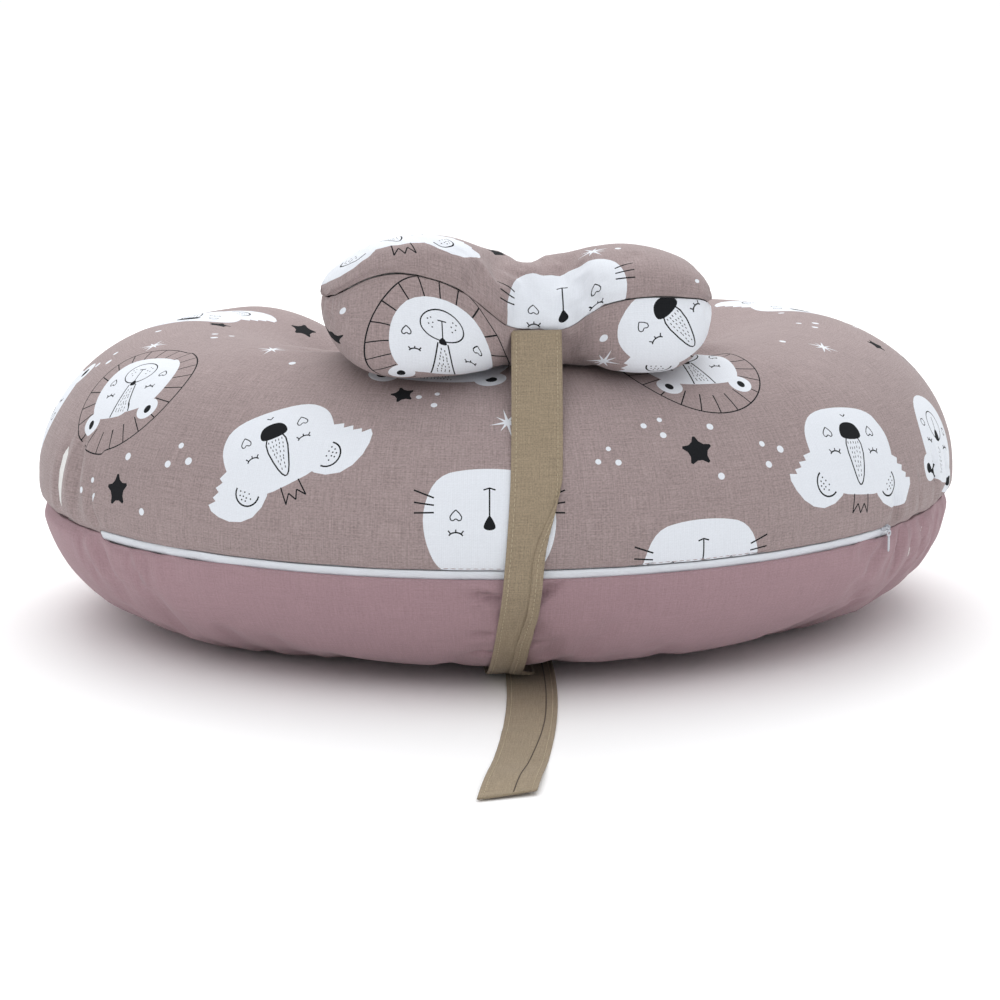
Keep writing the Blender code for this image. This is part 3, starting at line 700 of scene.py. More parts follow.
def stretch_at(along, phi):
    """How much longer a step along the cloth is at this place across it than on the centreline."""
    offset = HALF_WIDTH * np.cos(phi)
    radius = np.where(np.abs(along) < FRONT_LENGTH, FRONT_RADIUS, ARM_RADIUS)
    return (radius + offset) / radius


# side, turn in degrees, across in mm, heading in degrees, length, width and depth in mm
CREASES = (
    # beside the strap, on the plain panel
    (-1, -9.4, 15, 195, 20, 3.0, 4.6),
    (-1, -4.6, 16, -35, 36, 3.4, 4.6),
    (-1, -9.8, 44, 185, 14, 2.5, 2.6),
    (-1, -10.2, 66, 170, 14, 2.5, 2.4),
    (-1, -4.9, 56, 0, 16, 2.8, 2.6),
    # left end of the zip
    (-1, -53.5, 16, 65, 34, 3.6, 2.2),
    (-1, -51.0, 14, 75, 24, 3.0, 1.4),
    (-1, -59.0, 20, 50, 30, 4.0, 1.6),
    (-1, -64.0, 18, 70, 36, 4.0, 2.0),
    (1, -65.0, 34, 100, 52, 5.0, 4.2),
    (1, -71.0, 30, 85, 46, 4.6, 3.8),
    (1, -60.0, 18, 110, 26, 3.0, 1.6),
    # right end of the zip
    (1, 43.8, 15, 100, 20, 4.2, 3.4),
    (1, 50.0, 20, 80, 30, 3.0, 1.8),
    (1, 55.5, 26, 85, 40, 3.4, 2.2),
    (1, 60.5, 22, 95, 34, 3.0, 1.8),
    (-1, 46.5, 18, 95, 34, 3.4, 3.2),
    (-1, 50.0, 20, 75, 38, 3.2, 3.0),
    (-1, 54.0, 22, 68, 44, 3.6, 3.4),
    (-1, 58.5, 20, 72, 36, 3.4, 2.2),
    (-1, 63.0, 18, 78, 30, 3.2, 1.8),
    (-1, 41.0, 16, 120, 30, 4.0, 1.5),
    # crown dimples
    (1, 27.0, 176, 150, 40, 12.0, 5.0),
    (1, -40.0, 196, 20, 60, 10.0, 5.0),
)


def crease_relief(side, along, across):
    phi = phi_at(side, across)
    stretch = stretch_at(along, phi)
    relief = np.zeros_like(along)
    for which, turn, middle, heading, length, width, depth in CREASES:
        if which != side:
            continue
        place = math.radians(turn)
        if abs(place) <= FRONT_HALF:
            place = FRONT_RADIUS * place
        else:
            place = math.copysign(FRONT_LENGTH + ARM_RADIUS * (abs(place) - FRONT_HALF), place)
        dx = (along - place) * stretch
        dy = across - middle * MM
        c, s = math.cos(math.radians(heading)), math.sin(math.radians(heading))
        run = (dx * c + dy * s) / (length * MM / 2)
        off = (-dx * s + dy * c) / (width * MM)
        taper = np.exp(-(run**4))
        valley = np.exp(-(off**2)) - 0.32 * np.exp(-((np.abs(off) - 2.0) ** 2))
        relief -= depth * MM * taper * valley
    return np.maximum(relief, -4.0 * MM) if side < 0 else relief


def zipness(along):
    left, right = FRONT_RADIUS * ZIP_LEFT, FRONT_RADIUS * ZIP_RIGHT
    return smooth((along - left) / ZIP_BLEND + 0.5) * smooth((right - along) / ZIP_BLEND + 0.5)


# How far the edge rolls inside, and how deep and wide the seam, the zip's edge and the puckers are
ROLL = 4.6 * MM
SEAM_WINDOW = 0.25 * MM
SEAM_FADE = 4.5 * MM
ZIP_BLEND = 2.2 * MM
ZIP_EDGE_DIP = 0.75 * MM
ZIP_EDGE_FADE = 6 * MM
ZIP_GROOVE_FADE = 9 * MM
FOLD_DEPTH = 1.0 * MM
FOLD_RADIUS = 0.5 * MM
ROLL_SLOPE = 0.85
PUCKER_DEPTH = 0.55 * MM
PUCKER_FADE = 22 * MM
BROAD_DEPTH = 0.9 * MM


class CoverPanel:
    """One panel of a pillow's cover. U runs along it and T across it, from the outer seam's folded edge.

    Below zero and past the width, T rolls inside the seam. Subclasses give the surface and its length scale.
    """

    tag = 0
    seam_dip = 2.8 * MM
    gather_size = 7 * MM

    def normals(self, along, across):
        step = 1.5 * MM
        da = self.surface(along + step, across) - self.surface(along - step, across)
        db = self.surface(along, across + step) - self.surface(along, across - step)
        pole = (self.scale(along) < 0.03)[..., None]
        return np.where(pole, self.tip_direction(along), unit(np.cross(da, db) * self.side))

    def relief(self, along, across, near, far):
        """Depth of the cloth's creases and puckers below its even surface."""
        pucker = lattice_noise(along / (9 * MM), across / (60 * MM), 5 + self.tag)
        fade = np.exp(-near / PUCKER_FADE) + np.exp(-far / PUCKER_FADE)
        broad = lattice_noise(along / (46 * MM), across / (40 * MM) + 7, 11 + self.tag)
        depth = PUCKER_DEPTH * np.maximum(pucker, -0.2) * fade
        return depth + BROAD_DEPTH * (broad + 0.35) * smooth(np.minimum(near, far) / (25 * MM))

    def place(self, along, t, sink=0.0, groove=0.0):
        """The cloth's points. sink moves them all inward, and groove more beside the zip."""
        scale = self.scale(along)
        zipped = self.zipness(along)
        window = SEAM_WINDOW + (ZIP_WINDOW - SEAM_WINDOW) * zipped
        reach = self.width - window - SEAM_WINDOW
        inside = np.maximum(-t, 0.0)
        past = np.maximum(t - self.width, 0.0)
        across = window + np.clip(t / self.width, 0, 1) * reach
        across = across + zipped * 0.8 * np.maximum(inside - 0.6 * MM, 0)
        near = np.maximum(t, 0) * scale
        far = np.maximum(self.width - t, 0) * scale
        gather = 1 + 0.35 * lattice_noise(along / self.gather_size, along * 0 + 3.3, 21 + self.tag)
        seam = self.seam_dip * (1 - zipped) * np.exp(-near / SEAM_FADE) * gather
        zip_edge = ZIP_EDGE_DIP * zipped * np.exp(-near / ZIP_EDGE_FADE)
        inner = self.seam_dip * np.exp(-far / SEAM_FADE) * gather
        depth = (seam + zip_edge + inner) * smooth(scale / 0.35)
        fold = FOLD_DEPTH * (1 - np.exp(-inside / FOLD_RADIUS))
        rolled = zipped * fold + (1 - zipped) * ROLL_SLOPE * inside + ROLL_SLOPE * past
        depth = depth + rolled * smooth(scale / 0.5)
        depth = depth + self.relief(along, across, near, far) * smooth(scale / 0.35)
        depth = depth + groove * np.exp(-((near / ZIP_GROOVE_FADE) ** 2)) * zipped
        return self.surface(along, across) - self.normals(along, across) * (depth + sink)[..., None]


class MainPanel(CoverPanel):
    def __init__(self, skin, side):
        self.skin, self.side, self.tag = skin, side, side
        self.width = PANEL_WIDTH[side]
        self.zipness = zipness

    def scale(self, along):
        return centreline(along)[4]

    def tip_direction(self, along):
        turn = centreline(along)[5]
        return np.stack([np.cos(turn) * np.sign(along), np.sin(np.abs(turn)), 0 * along], -1)

    def surface(self, along, across):
        a = (along / FULL_LENGTH + 1) / 2 * ALONG_STEPS
        share = np.clip(across / self.width, 0, 1)
        if self.side > 0:
            return self.skin.points(a, share * TOP_STEPS)
        return self.skin.points(a, TOP_STEPS + LOW_STEPS * (1 - share))

    def relief(self, along, across, near, far):
        creases = crease_relief(self.side, along, across)
        depth = super().relief(along, across, near, far)
        return depth - creases * smooth(np.minimum(near, far) / (3 * MM))

    def domain(self, pitch):
        us = list(np.linspace(-FULL_LENGTH, FULL_LENGTH, round(2 * FULL_LENGTH / pitch) + 1))
        for end in (FRONT_RADIUS * ZIP_LEFT, FRONT_RADIUS * ZIP_RIGHT):
            us += [end + k * MM for k in (-2.0, -1.1, -0.5, 0, 0.5, 1.1, 2.0)]
        return spaced(us), across_steps(self.width, pitch)


def spaced(places, least=0.35 * MM):
    """Sorted places with none closer than the least gap, and both ends kept."""
    places = sorted(places)
    kept = [places[0]]
    for place in places[1:]:
        if place - kept[-1] > least:
            kept.append(place)
    kept[-1] = places[-1]
    return np.array(kept)


def across_steps(width, step):
    edge = np.array([-ROLL / MM, -3.2, -2.0, -1.1, -0.5, 0, 0.6, 1.3, 2.2, 3.4, 5, 7.2, 10]) * MM
    middle = np.linspace(13.5 * MM, width - 13.5 * MM, max(round(width / step) - 5, 3))
    return np.concatenate([edge, middle, width - edge[::-1]])


# ---- the print


def ellipse(cx, cy, rx, ry, spin=0.0, count=28):
    turn = np.linspace(0, math.tau, count, endpoint=False)
    x, y = rx * np.cos(turn), ry * np.sin(turn)
    c, s = math.cos(spin), math.sin(spin)
    return np.stack([cx + x * c - y * s, cy + x * s + y * c], -1)


def stroke(points, width):
    """The outline of a line of constant width."""
    points = np.asarray(points, float)
    ahead = unit(np.gradient(points, axis=0))
    side = np.stack([-ahead[:, 1], ahead[:, 0]], -1) * width / 2
    return np.concatenate([points + side, (points - side)[::-1]])


def ink(points, width):
    return ("black", stroke(points, width))


def ring(cx, cy, rx, ry, width, count):
    """Two half rings, so that each is a simple outline."""
    made = []
    for start in (0, math.pi):
        turn = np.linspace(start - 0.01, start + math.pi + 0.01, count // 2)
        made.append(ink(np.stack([cx + rx * np.cos(turn), cy + ry * np.sin(turn)], -1), width))
    return made


def arc(cx, cy, radius, start, end, count=10, squash=1.0):
    turn = np.radians(np.linspace(start, end, count))
    return np.stack([cx + radius * np.cos(turn), cy + radius * squash * np.sin(turn)], -1)


def rounded(points, rounds=2):
    """Corner cutting, for soft closed outlines."""
    points = np.asarray(points, float)
    for _ in range(rounds):
        after = np.roll(points, -1, axis=0)
        points = np.stack([points * 0.75 + after * 0.25, points * 0.25 + after * 0.75], 1).reshape(-1, 2)
    return points


def face(outline):
    return ("white", rounded(outline))


def closed_eye(x, y, size, tilt=0.0):
    made = [ink(arc(x, y, size, 200 + tilt, 340 + tilt, 8, 0.7), 0.9)]
    for k in (-0.7, 0.0, 0.7):
        foot = np.array([x + k * size, y - size * 0.66 * (1 - 0.35 * abs(k))])
        made.append(ink([foot, foot + (k * 0.5 * size, -size * 0.45)], 0.8))
    return made


def stipple(outline_low, outline_high, rows, seed, dash=1.5):
    """Short dashes between two (half width, y) levels."""
    rng = np.random.default_rng(seed)
    made = []
    (w0, y0), (w1, y1) = outline_low, outline_high
    for i in range(rows):
        share = (i + 0.5) / rows
        half, y = w0 + (w1 - w0) * share, y0 + (y1 - y0) * share
        count = max(1, int(half * 2 / 2.4))
        for k in range(count):
            x = (-half + 2 * half * (k + 0.5) / count) * 0.86 + rng.uniform(-0.3, 0.3)
            yy = y + rng.uniform(-0.6, 0.6)
            made.append(ink([(x, yy - dash / 2), (x + 0.1, yy + dash / 2)], 0.55))
    return made


def heart(x, y, size, width=0.7):
    """A small outlined heart with its point down."""
    half = [(0, -3.4), (2.2, -1.2), (3.5, 0.9), (3.2, 2.7), (1.8, 3.3), (0.3, 2.2)]
    outline = half + [(-px, py) for px, py in reversed(half)]
    made = []
    for first, second in zip(outline, outline[1:] + outline[:1]):
        ends = [(x + first[0] * size, y + first[1] * size), (x + second[0] * size, y + second[1] * size)]
        made.append(ink(ends, width))
    return made


def koala():
    """A wide sleepy face with furry side ears and a long nose, in mm, upright, about 118 wide."""
    layers = []
    for sign in (-1, 1):
        fur = [(36, -3), (45, 0), (44, 3.5), (50, 4.5), (49, 8), (54.5, 9.5), (53.5, 12.5), (59.5, 12.5)]
        lobe = [(59.5, 17), (56, 23), (50, 29), (42, 33), (33, 34), (24, 31), (17.5, 26), (14, 20)]
        layers.append(("white", np.array([(sign * x, y) for x, y in fur + lobe])))
    head = [(-20, 25), (0, 25.5), (20, 25), (36, 14), (39.5, -4), (37.5, -19), (26, -31)]
    head += [(0, -33.5), (-26, -31), (-37.5, -19), (-39.5, -4), (-36, 14)]
    layers.append(face(head))
    for sign in (-1, 1):
        points = arc(0, 0, 8.6, -50, 140, 14) * (sign, 1) + (sign * 29.5, 18)
        layers.append(ink(points, 1.1))
        tufts = [(35, 17), (33.5, 14.5), (33, 18.5), (31, 16.5), (35, 20), (31.5, 20.5)]
        for x, y in tufts + [(28.5, 19), (29, 22.5), (33, 22)]:
            layers.append(("black", ellipse(sign * x, y, 0.6, 0.6, count=6)))
    bridge = rounded([(-3.2, 19), (3.2, 19), (9.4, -13), (-9.4, -13)])
    closed = np.concatenate([bridge, bridge[:1]])
    layers.append(ink(closed[: len(closed) // 2 + 1], 1.0))
    layers.append(ink(closed[len(closed) // 2 :], 1.0))
    layers += stipple((2.2, 15), (7.2, -9), 8, 3)
    nose = [(-8.9, -10), (8.9, -10), (9.8, -16), (5.5, -21.8), (-5.5, -21.8), (-9.8, -16)]
    layers.append(("black", rounded(nose)))
    layers.append(ink([(-2.2, -27.5), (0, -26), (2.2, -27.5)], 0.8))
    for sign in (-1, 1):
        layers += closed_eye(sign * 18.4, 0.5, 4.4)
        layers += heart(sign * 20, -15.5, 1.0)
    crown = [(-6.5, 25), (-7.5, 37), (-3, 31), (0, 37), (3, 31), (7.5, 37), (6.5, 25)]
    for first, second in zip(crown, crown[1:]):
        layers.append(ink([first, second], 0.9))
    return layers


def lion():
    """A round mane drawn as a spoked ring, and a face with small ears, about 92 across."""
    layers = ring(0, 0, 46, 46, 0.9, 72)
    for k in range(22):
        turn = math.tau * (k + 0.5) / 22
        c, s = math.cos(turn), math.sin(turn)
        layers.append(ink([(c * 31, s * 31), (c * 45.6, s * 45.6)], 0.8))
    for sign in (-1, 1):
        layers.append(("white", ellipse(sign * 25, 21, 8, 8)))
        layers.append(("black", ellipse(sign * 25.5, 21.5, 2.6, 3.2, count=14)))
    head = [(-27, 16), (-14, 20), (14, 20), (27, 16), (33, -2), (29, -22), (15, -33)]
    layers.append(face(head + [(-15, -33), (-29, -22), (-33, -2)]))
    layers.append(ink([(-7.5, 19.5), (-3, -6)], 0.9))
    layers.append(ink([(7.5, 19.5), (3, -6)], 0.9))
    layers += stipple((6.0, 17), (2.6, -3), 8, 5)
    layers.append(("black", rounded([(-3.6, -5), (3.6, -5), (0, -11)])))
    layers.append(ink([(0, -9), (0, -20)], 0.7))
    layers.append(ink([(-2.6, -20), (2.6, -20)], 0.8))
    layers += ring(0, -17, 13, 9.5, 0.8, 36)
    for sign in (-1, 1):
        for x, y in ((6, -15), (8, -17), (5.5, -18), (8.5, -20), (6.6, -21)):
            layers.append(("black", ellipse(sign * x, y, 0.5, 0.5, count=6)))
        layers += closed_eye(sign * 17, 3, 3.6)
        layers += heart(sign * 21.5, -11, 0.8)
    return layers


def panda():
    """A round face with dark eye patches, about 88 wide."""
    layers = []
    for sign in (-1, 1):
        layers.append(("white", ellipse(sign * 33, 25, 10, 9)))
        layers.append(("black", ellipse(sign * 34, 26, 3.6, 3.2, count=16)))
    head = [(-34, 26), (-16, 31), (16, 31), (34, 26), (43, 4), (38, -18), (20, -30)]
    layers.append(face(head + [(-20, -30), (-38, -18), (-43, 4)]))
    for sign in (-1, 1):
        layers.append(("black", ellipse(sign * 19, 8, 11, 8, -0.35 * sign, 26)))
        layers.append(("white", stroke(arc(sign * 18, 8, 4.0, 200, 340, 8, 0.7), 0.9)))
        layers += ring(sign * 26, -9, 3.0, 2.6, 0.8, 18)
    layers += stipple((13, 28), (5, 18), 4, 8, 1.0)
    layers.append(("black", rounded([(-5, 0), (5, 0), (2, -6), (-2, -6)])))
    layers.append(ink([(0, -5), (0, -12)], 0.8))
    layers.append(ink(arc(-3.5, -12, 3.5, 200, 350), 0.8))
    layers.append(ink(arc(3.5, -12, 3.5, 190, 340), 0.8))
    return layers


def seal():
    """A smooth round face with whiskers and its mouth to the lower end, about 80 wide."""
    head = [(-30, 26), (-12, 34), (12, 34), (30, 26), (39, 6), (40, -14), (31, -34)]
    layers = [face(head + [(12, -38.5), (-12, -38.5), (-31, -34), (-40, -14), (-39, 6)])]
    for sign in (-1, 1):
        for y, rise in ((-11, 0.5), (-15.5, -1.5), (-20, -4.5)):
            layers.append(ink([(sign * 33, y), (sign * 45, y + rise)], 1.0))
        layers += closed_eye(sign * 20, 4, 4.4)
        layers += heart(sign * 20, -9.5, 1.0)
    nose = [(-0.6, -9.5), (0.6, -9.5), (4.2, -2.5), (2, -0.5), (-2, -0.5), (-4.2, -2.5)]
    layers.append(("black", rounded(nose)))
    layers.append(ink([(0, -8), (0, -26)], 0.9))
    layers.append(ink([(-3.6, -25.2), (0, -26.4), (3.6, -25.2)], 0.9))
    return layers


def bear():
    """A narrow face with small round ears, about 60 wide."""
    layers = []
    for sign in (-1, 1):
        layers.append(("white", ellipse(sign * 24, 24, 9, 9)))
        layers.append(("black", ellipse(sign * 24.5, 24.5, 3.4, 3.4, count=16)))
    head = [(-22, 26), (0, 30), (22, 26), (31, 6), (27, -18), (12, -31)]
    layers.append(face(head + [(-12, -31), (-27, -18), (-31, 6)]))
    layers += stipple((4.6, 24), (3.0, 6), 7, 9)
    layers.append(("black", rounded([(-5, 2), (5, 2), (2.4, -6), (-2.4, -6)])))
    layers.append(ink([(0, -5), (0, -15)], 0.8))
    layers += ring(0, -9, 11, 10, 0.8, 32)
    for sign in (-1, 1):
        layers += closed_eye(sign * 16, 6, 3.6)
        layers += ring(sign * 20, -8, 2.8, 2.4, 0.7, 18)
    return layers


def star(radius):
    """Five blunt points, with valleys at 0.46 of the radius."""
    corner = np.arange(10)
    turn = corner * math.pi / 5 + math.pi / 2
    reach = np.where(corner % 2 == 0, radius, radius * 0.46)
    return [("black", rounded(np.stack([reach * np.cos(turn), reach * np.sin(turn)], -1), 1))]


def sparkle():
    """Four thin crossing slivers, two long and two shorter."""
    layers = []
    for k in range(4):
        turn = math.pi * k / 4 + 0.2
        c, s = math.cos(turn), math.sin(turn)
        reach = 11.0 if k % 2 == 0 else 8.0
        long, short = np.array([c, s]) * reach, np.array([-s, c]) * 1.1
        layers.append(("white", np.array([long, short, -long, -short])))
    return layers


def dots():
    return [("white", ellipse(x, y, r, r, count=14)) for x, y, r in ((-7, 4, 2.3), (7, 6, 2.0), (4, -7, 2.5))]


def dot():
    return [("white", ellipse(0, 0, 2.3, 2.3, count=14))]


MOTIFS = {
    "koala": koala,
    "lion": lion,
    "panda": panda,
    "seal": seal,
    "bear": bear,
    "star": lambda: star(12.0),
    "small_star": lambda: star(8.6),
    "sparkle": sparkle,
    "dots": dots,
    "dot": dot,
}

# kind, along and across in mm, spin in degrees, size
MAIN_PRINT = (
    ("koala", -127, 70, 211, 0.95),
    ("koala", 139, 52, 172, 1.0),
    ("lion", -231, 97, 200, 1.0),
    ("lion", 78, 141, 175, 1.0),
    ("panda", -62, 165, 178, 1.0),
    ("seal", -35, 25, 180, 1.0),
    ("seal", 53, -12, 180, 1.0),
    ("bear", 221, 46, 160, 1.0),
    ("star", -207, 30, 10, 1.0),
    ("star", 56, 70, 0, 1.0),
    ("small_star", -77, 119, 20, 1.0),
    ("small_star", 246, 120, 30, 1.0),
    ("small_star", 206, 28, 10, 1.0),
    ("sparkle", -176, 166, 0, 1.0),
    ("sparkle", 190, 140, 20, 1.0),
    ("sparkle", -27, 96, 0, 1.0),
    ("dots", -64, 115, 10, 0.8),
    ("dots", 15, 68, 40, 0.8),
    ("dots", 39, 88, 10, 0.85),
    ("dots", 92, 62, 80, 1.0),
    ("dots", -175, 56, 60, 1.0),
    ("dot", 66, 86, 0, 1.0),
    ("dot", 64, 52, 0, 1.0),
    ("dot", -205, 52, 0, 1.1),
    ("dots", -228, 27, 30, 0.9),
    ("dot", -190, 20, 0, 1.0),
    ("dot", -150, 150, 0, 1.0),
    ("dot", 172, 160, 0, 1.0),
    ("sparkle", -262, 140, 30, 1.0),
    ("small_star", -316, 190, 10, 1.1),
    ("star", -398, 228, 60, 0.9),
    ("koala", -352, 160, 100, 0.9),
    ("koala", 330, 150, 250, 0.9),
    ("lion", 405, 90, 30, 0.9),
    ("bear", -300, 60, 20, 1.1),
    ("panda", 320, 52, 40, 0.95),
    ("seal", -410, 75, 300, 0.9),
    ("koala", 0, 250, 20, 0.7),
    ("bear", -120, 262, 200, 0.8),
    ("bear", 118, 255, 170, 0.8),
    ("lion", -460, 190, 60, 0.7),
    ("panda", 455, 200, 120, 0.8),
    ("star", 270, 90, 40, 1.0),
    ("star", -345, 100, 20, 1.0),
    ("star", 0, 195, 15, 0.9),
    ("small_star", 400, 160, 50, 1.0),
    ("small_star", 130, 195, 50, 1.0),
    ("small_star", -120, 205, 50, 1.0),
    ("sparkle", 370, 110, 10, 1.0),
    ("sparkle", -380, 120, 10, 1.0),
    ("sparkle", 40, 222, 10, 0.9),
    ("dots", 285, 130, 10, 1.0),
    ("dots", 245, 165, 50, 1.0),
    ("dots", -280, 110, 70, 1.0),
    ("dots", -250, 180, 20, 1.0),
    ("dots", -60, 230, 20, 0.8),
    ("dots", 70, 255, 90, 0.8),
    ("dots", 440, 130, 90, 1.0),
    ("dots", -430, 130, 90, 1.0),
    ("dots", 360, 30, 10, 1.0),
    ("dots", -360, 30, 10, 1.0),
    ("dot", 300, 180, 0, 1.0),
    ("dot", -300, 150, 0, 1.0),
)

HEAD_PRINT_LOW = (
    ("lion", -59, 42, -3, 0.98),
    ("koala", 84, 16, 322, 0.9),
    ("sparkle", 41, 38, 10, 0.9),
    ("dot", 40, 20, 0, 1.0),
    ("small_star", -121, 30, 30, 0.8),
    ("dot", -116, 12, 0, 0.8),
    ("koala", -60, 128, 20, 0.6),
    ("bear", 55, 125, 20, 0.9),
    ("star", 0, 100, 10, 0.8),
)

HEAD_PRINT_TOP = (
    ("koala", -86, 44, 190, 0.85),
    ("seal", 17, 4, 180, 0.9),
    ("sparkle", 38, 50, 10, 0.9),
    ("dot", 52, 50, 0, 0.8),
    ("dot", 96, 12, 0, 0.7),
    ("lion", 66, 104, 20, 0.6),
    ("small_star", -20, 70, 20, 0.9),
    ("star", -56, 108, 40, 0.8),
    ("dots", 20, 90, 40, 0.9),
)


def line_length(along, stretch_front, stretch_arm):
    """Length from the middle to a place along the cloth at a fixed place across it."""
    u = np.abs(along)
    front = np.minimum(u, FRONT_LENGTH) * stretch_front
    arm = np.clip(u - FRONT_LENGTH, 0, ARM_LENGTH - FRONT_LENGTH) * stretch_arm
    return np.sign(along) * (front + arm + np.maximum(u - ARM_LENGTH, 0))


def main_shift(along, across, shift):
    """The place along the cloth that lies a real distance from another, at a fixed place across it."""
    phi = phi_at(1, across)
    offset = HALF_WIDTH * np.cos(phi)
    front = np.maximum((FRONT_RADIUS + offset) / FRONT_RADIUS, 0.3)
    arm = np.maximum((ARM_RADIUS + offset) / ARM_RADIUS, 0.3)
    goal = line_length(along, front, arm) + shift
    size = np.abs(goal)
    front_end = FRONT_LENGTH * front
    arm_end = front_end + (ARM_LENGTH - FRONT_LENGTH) * arm
    found = np.where(size < front_end, size / front, FRONT_LENGTH + (size - front_end) / arm)
    found = np.where(size > arm_end, ARM_LENGTH + size - arm_end, found)
    return np.sign(goal) * found


def main_cloth(along, across, x, y):
    """Cloth coordinates of a motif's points on the main pillow, whose panel is wider outside its curve."""
    t = across + y
    return main_shift(np.full(len(x), along), np.maximum(t, 0.0), x), t


def short_edged(outline, longest):
    """The same outline with more points, so that a long straight edge follows the curve of the cloth."""
    made = []
    for start, end in zip(outline, np.roll(outline, -1, axis=0)):
        count = max(1, math.ceil(np.linalg.norm(end - start) / longest))
        made += [start + (end - start) * k / count for k in range(count)]
    return np.array(made)


def lay_print(placements, to_cloth, width):
    """Every motif's outlines in cloth coordinates, in drawing order."""
    outlines = []
    edge = 0.98 * ROLL
    for kind, along, across, spin, size in placements:
        c, s = math.cos(math.radians(spin)), math.sin(math.radians(spin))
        for colour, points in MOTIFS[kind]():
            points = short_edged(np.asarray(points, float) * size * MM, 3.0 * MM)
            x, y = points[:, 0] * c - points[:, 1] * s, points[:, 0] * s + points[:, 1] * c
            u, t = to_cloth(along * MM, across * MM, x, y)
            t = np.clip(t, -edge, width + edge)
            if t.max() - t.min() > 0.05 * MM:
                outlines.append((colour, np.stack([u, t], -1)))
    return outlines


def inside_outline(points, outline):
    """Which points lie inside a closed outline."""
    found = np.zeros(len(points), bool)
    x, y = points[:, 0], points[:, 1]
    ends = np.roll(outline, -1, axis=0)
    for (x0, y0), (x1, y1) in zip(outline, ends):
        if y0 == y1:
            continue
        crosses = (y0 > y) != (y1 > y)
        found ^= crosses & (x < (x1 - x0) * (y - y0) / (y1 - y0) + x0)
    return found


COLOURS = ("taupe", "white", "black")


def printed_mesh(us, ts, outlines):
    """Triangles over a grid of cloth coordinates, cut along every outline, with a colour for each."""
    uu, tt = np.meshgrid(us, ts, indexing="ij")
    points = [Vector((u, t)) for u, t in zip(uu.ravel(), tt.ravel())]
    edges = []
    for _, outline in outlines:
        first = len(points)
        points += [Vector((float(u), float(t))) for u, t in outline]
        count = len(outline)
        edges += [(first + k, first + (k + 1) % count) for k in range(count)]
    verts, _, faces, *_ = delaunay_2d_cdt(points, edges, [], 0, 1e-7, False)
    verts = np.array([(v[0], v[1]) for v in verts])
    faces = np.array(faces, int)
    centre = verts[faces].mean(axis=1)
    slots = np.zeros(len(faces), int)
    for colour, outline in outlines:
        low, high = outline.min(axis=0), outline.max(axis=0)
        near = np.nonzero(((centre >= low) & (centre <= high)).all(axis=1))[0]
        if len(near):
            hit = inside_outline(centre[near], outline)
            slots[near[hit]] = COLOURS.index(colour)
    a, b, c = verts[faces[:, 0]], verts[faces[:, 1]], verts[faces[:, 2]]
    area = (b[:, 0] - a[:, 0]) * (c[:, 1] - a[:, 1]) - (b[:, 1] - a[:, 1]) * (c[:, 0] - a[:, 0])
    faces = np.where((area < 0)[:, None], faces[:, ::-1], faces)
    return verts, faces, slots


def panel_object(name, panel, outlines, looks, body, sink=0.0, groove=0.0, pitch=4.0 * MM):
    """A closed fabric shell: the printed outside, a plain inside, and the edges that join them."""
    us, ts = panel.domain(pitch)
    plane, faces, slots = printed_mesh(us, ts, outlines)
    u, t = plane[:, 0], plane[:, 1]
    outer = panel.place(u, t, sink, groove)
    step = 0.25 * MM
    du = panel.place(u + step, t, sink, groove) - panel.place(u - step, t, sink, groove)
    dt = panel.place(u, t + step, sink, groove) - panel.place(u, t - step, sink, groove)
    normals = unit(np.cross(du, dt) * panel.side)
    gu, gt = np.meshgrid(us, ts, indexing="ij")
    inner = panel.place(gu.ravel(), gt.ravel(), sink + COVER_THICKNESS, groove)
    count = len(plane)
    columns = len(ts)
    index = np.arange(gu.size).reshape(gu.shape) + count
    a, b = index[:-1, :-1].ravel(), index[1:, :-1].ravel()
    c, d = index[1:, 1:].ravel(), index[:-1, 1:].ravel()
    inside = np.concatenate([np.stack([a, c, b], -1), np.stack([a, d, c], -1)])
    # The grid's own corners come first in the plane's points, in the same order.
    order = np.arange(gu.size).reshape(gu.shape)
    rims = []
    for column, flip in ((0, False), (columns - 1, True)):
        o0, o1 = order[:-1, column], order[1:, column]
        i0, i1 = index[:-1, column], index[1:, column]
        quads = np.concatenate([np.stack([o0, i0, i1], -1), np.stack([o0, i1, o1], -1)])
        rims.append(quads[:, ::-1] if flip else quads)
    every = np.concatenate([faces, inside, *rims])
    marks = np.concatenate([slots, np.zeros(len(every) - len(faces), int)])
    verts = np.concatenate([outer, inner])
    cloth = np.concatenate([plane, np.stack([gu.ravel(), gt.ravel()], -1)])
    # Each end row is one point.
    merge = np.arange(len(verts))
    for row, where in ((plane[:, 0], 0), (gu.ravel(), count)):
        for end in (us[0], us[-1]):
            same = np.nonzero(np.abs(row - end) < 1e-7)[0] + where
            merge[same] = same[0]
    every = merge[every]
    real = (every[:, 0] != every[:, 1]) & (every[:, 1] != every[:, 2]) & (every[:, 0] != every[:, 2])
    every, marks = every[real], marks[real]
    if panel.side < 0:
        every = every[:, ::-1]
    used, back = np.unique(every, return_inverse=True)
    every = back.reshape(every.shape)
    shade = np.concatenate([normals, -normals[: gu.size]])[used]
    return add_object(name, verts[used], every, looks, body, uv=cloth[used], normals=shade, slots=marks)


# ---- the head pillow


HEAD_CENTRE = (HEAD_RIGHT + HEAD_LEFT) / 2
HEAD_SPAN = (HEAD_RIGHT - HEAD_LEFT) / 2
HEAD_ROWS = 64
HEAD_SIDE = 26
HEAD_TOP_SWELL_LIMIT = 4.5 * MM
HEAD_LOW_SWELL_LIMIT = 1.8 * MM


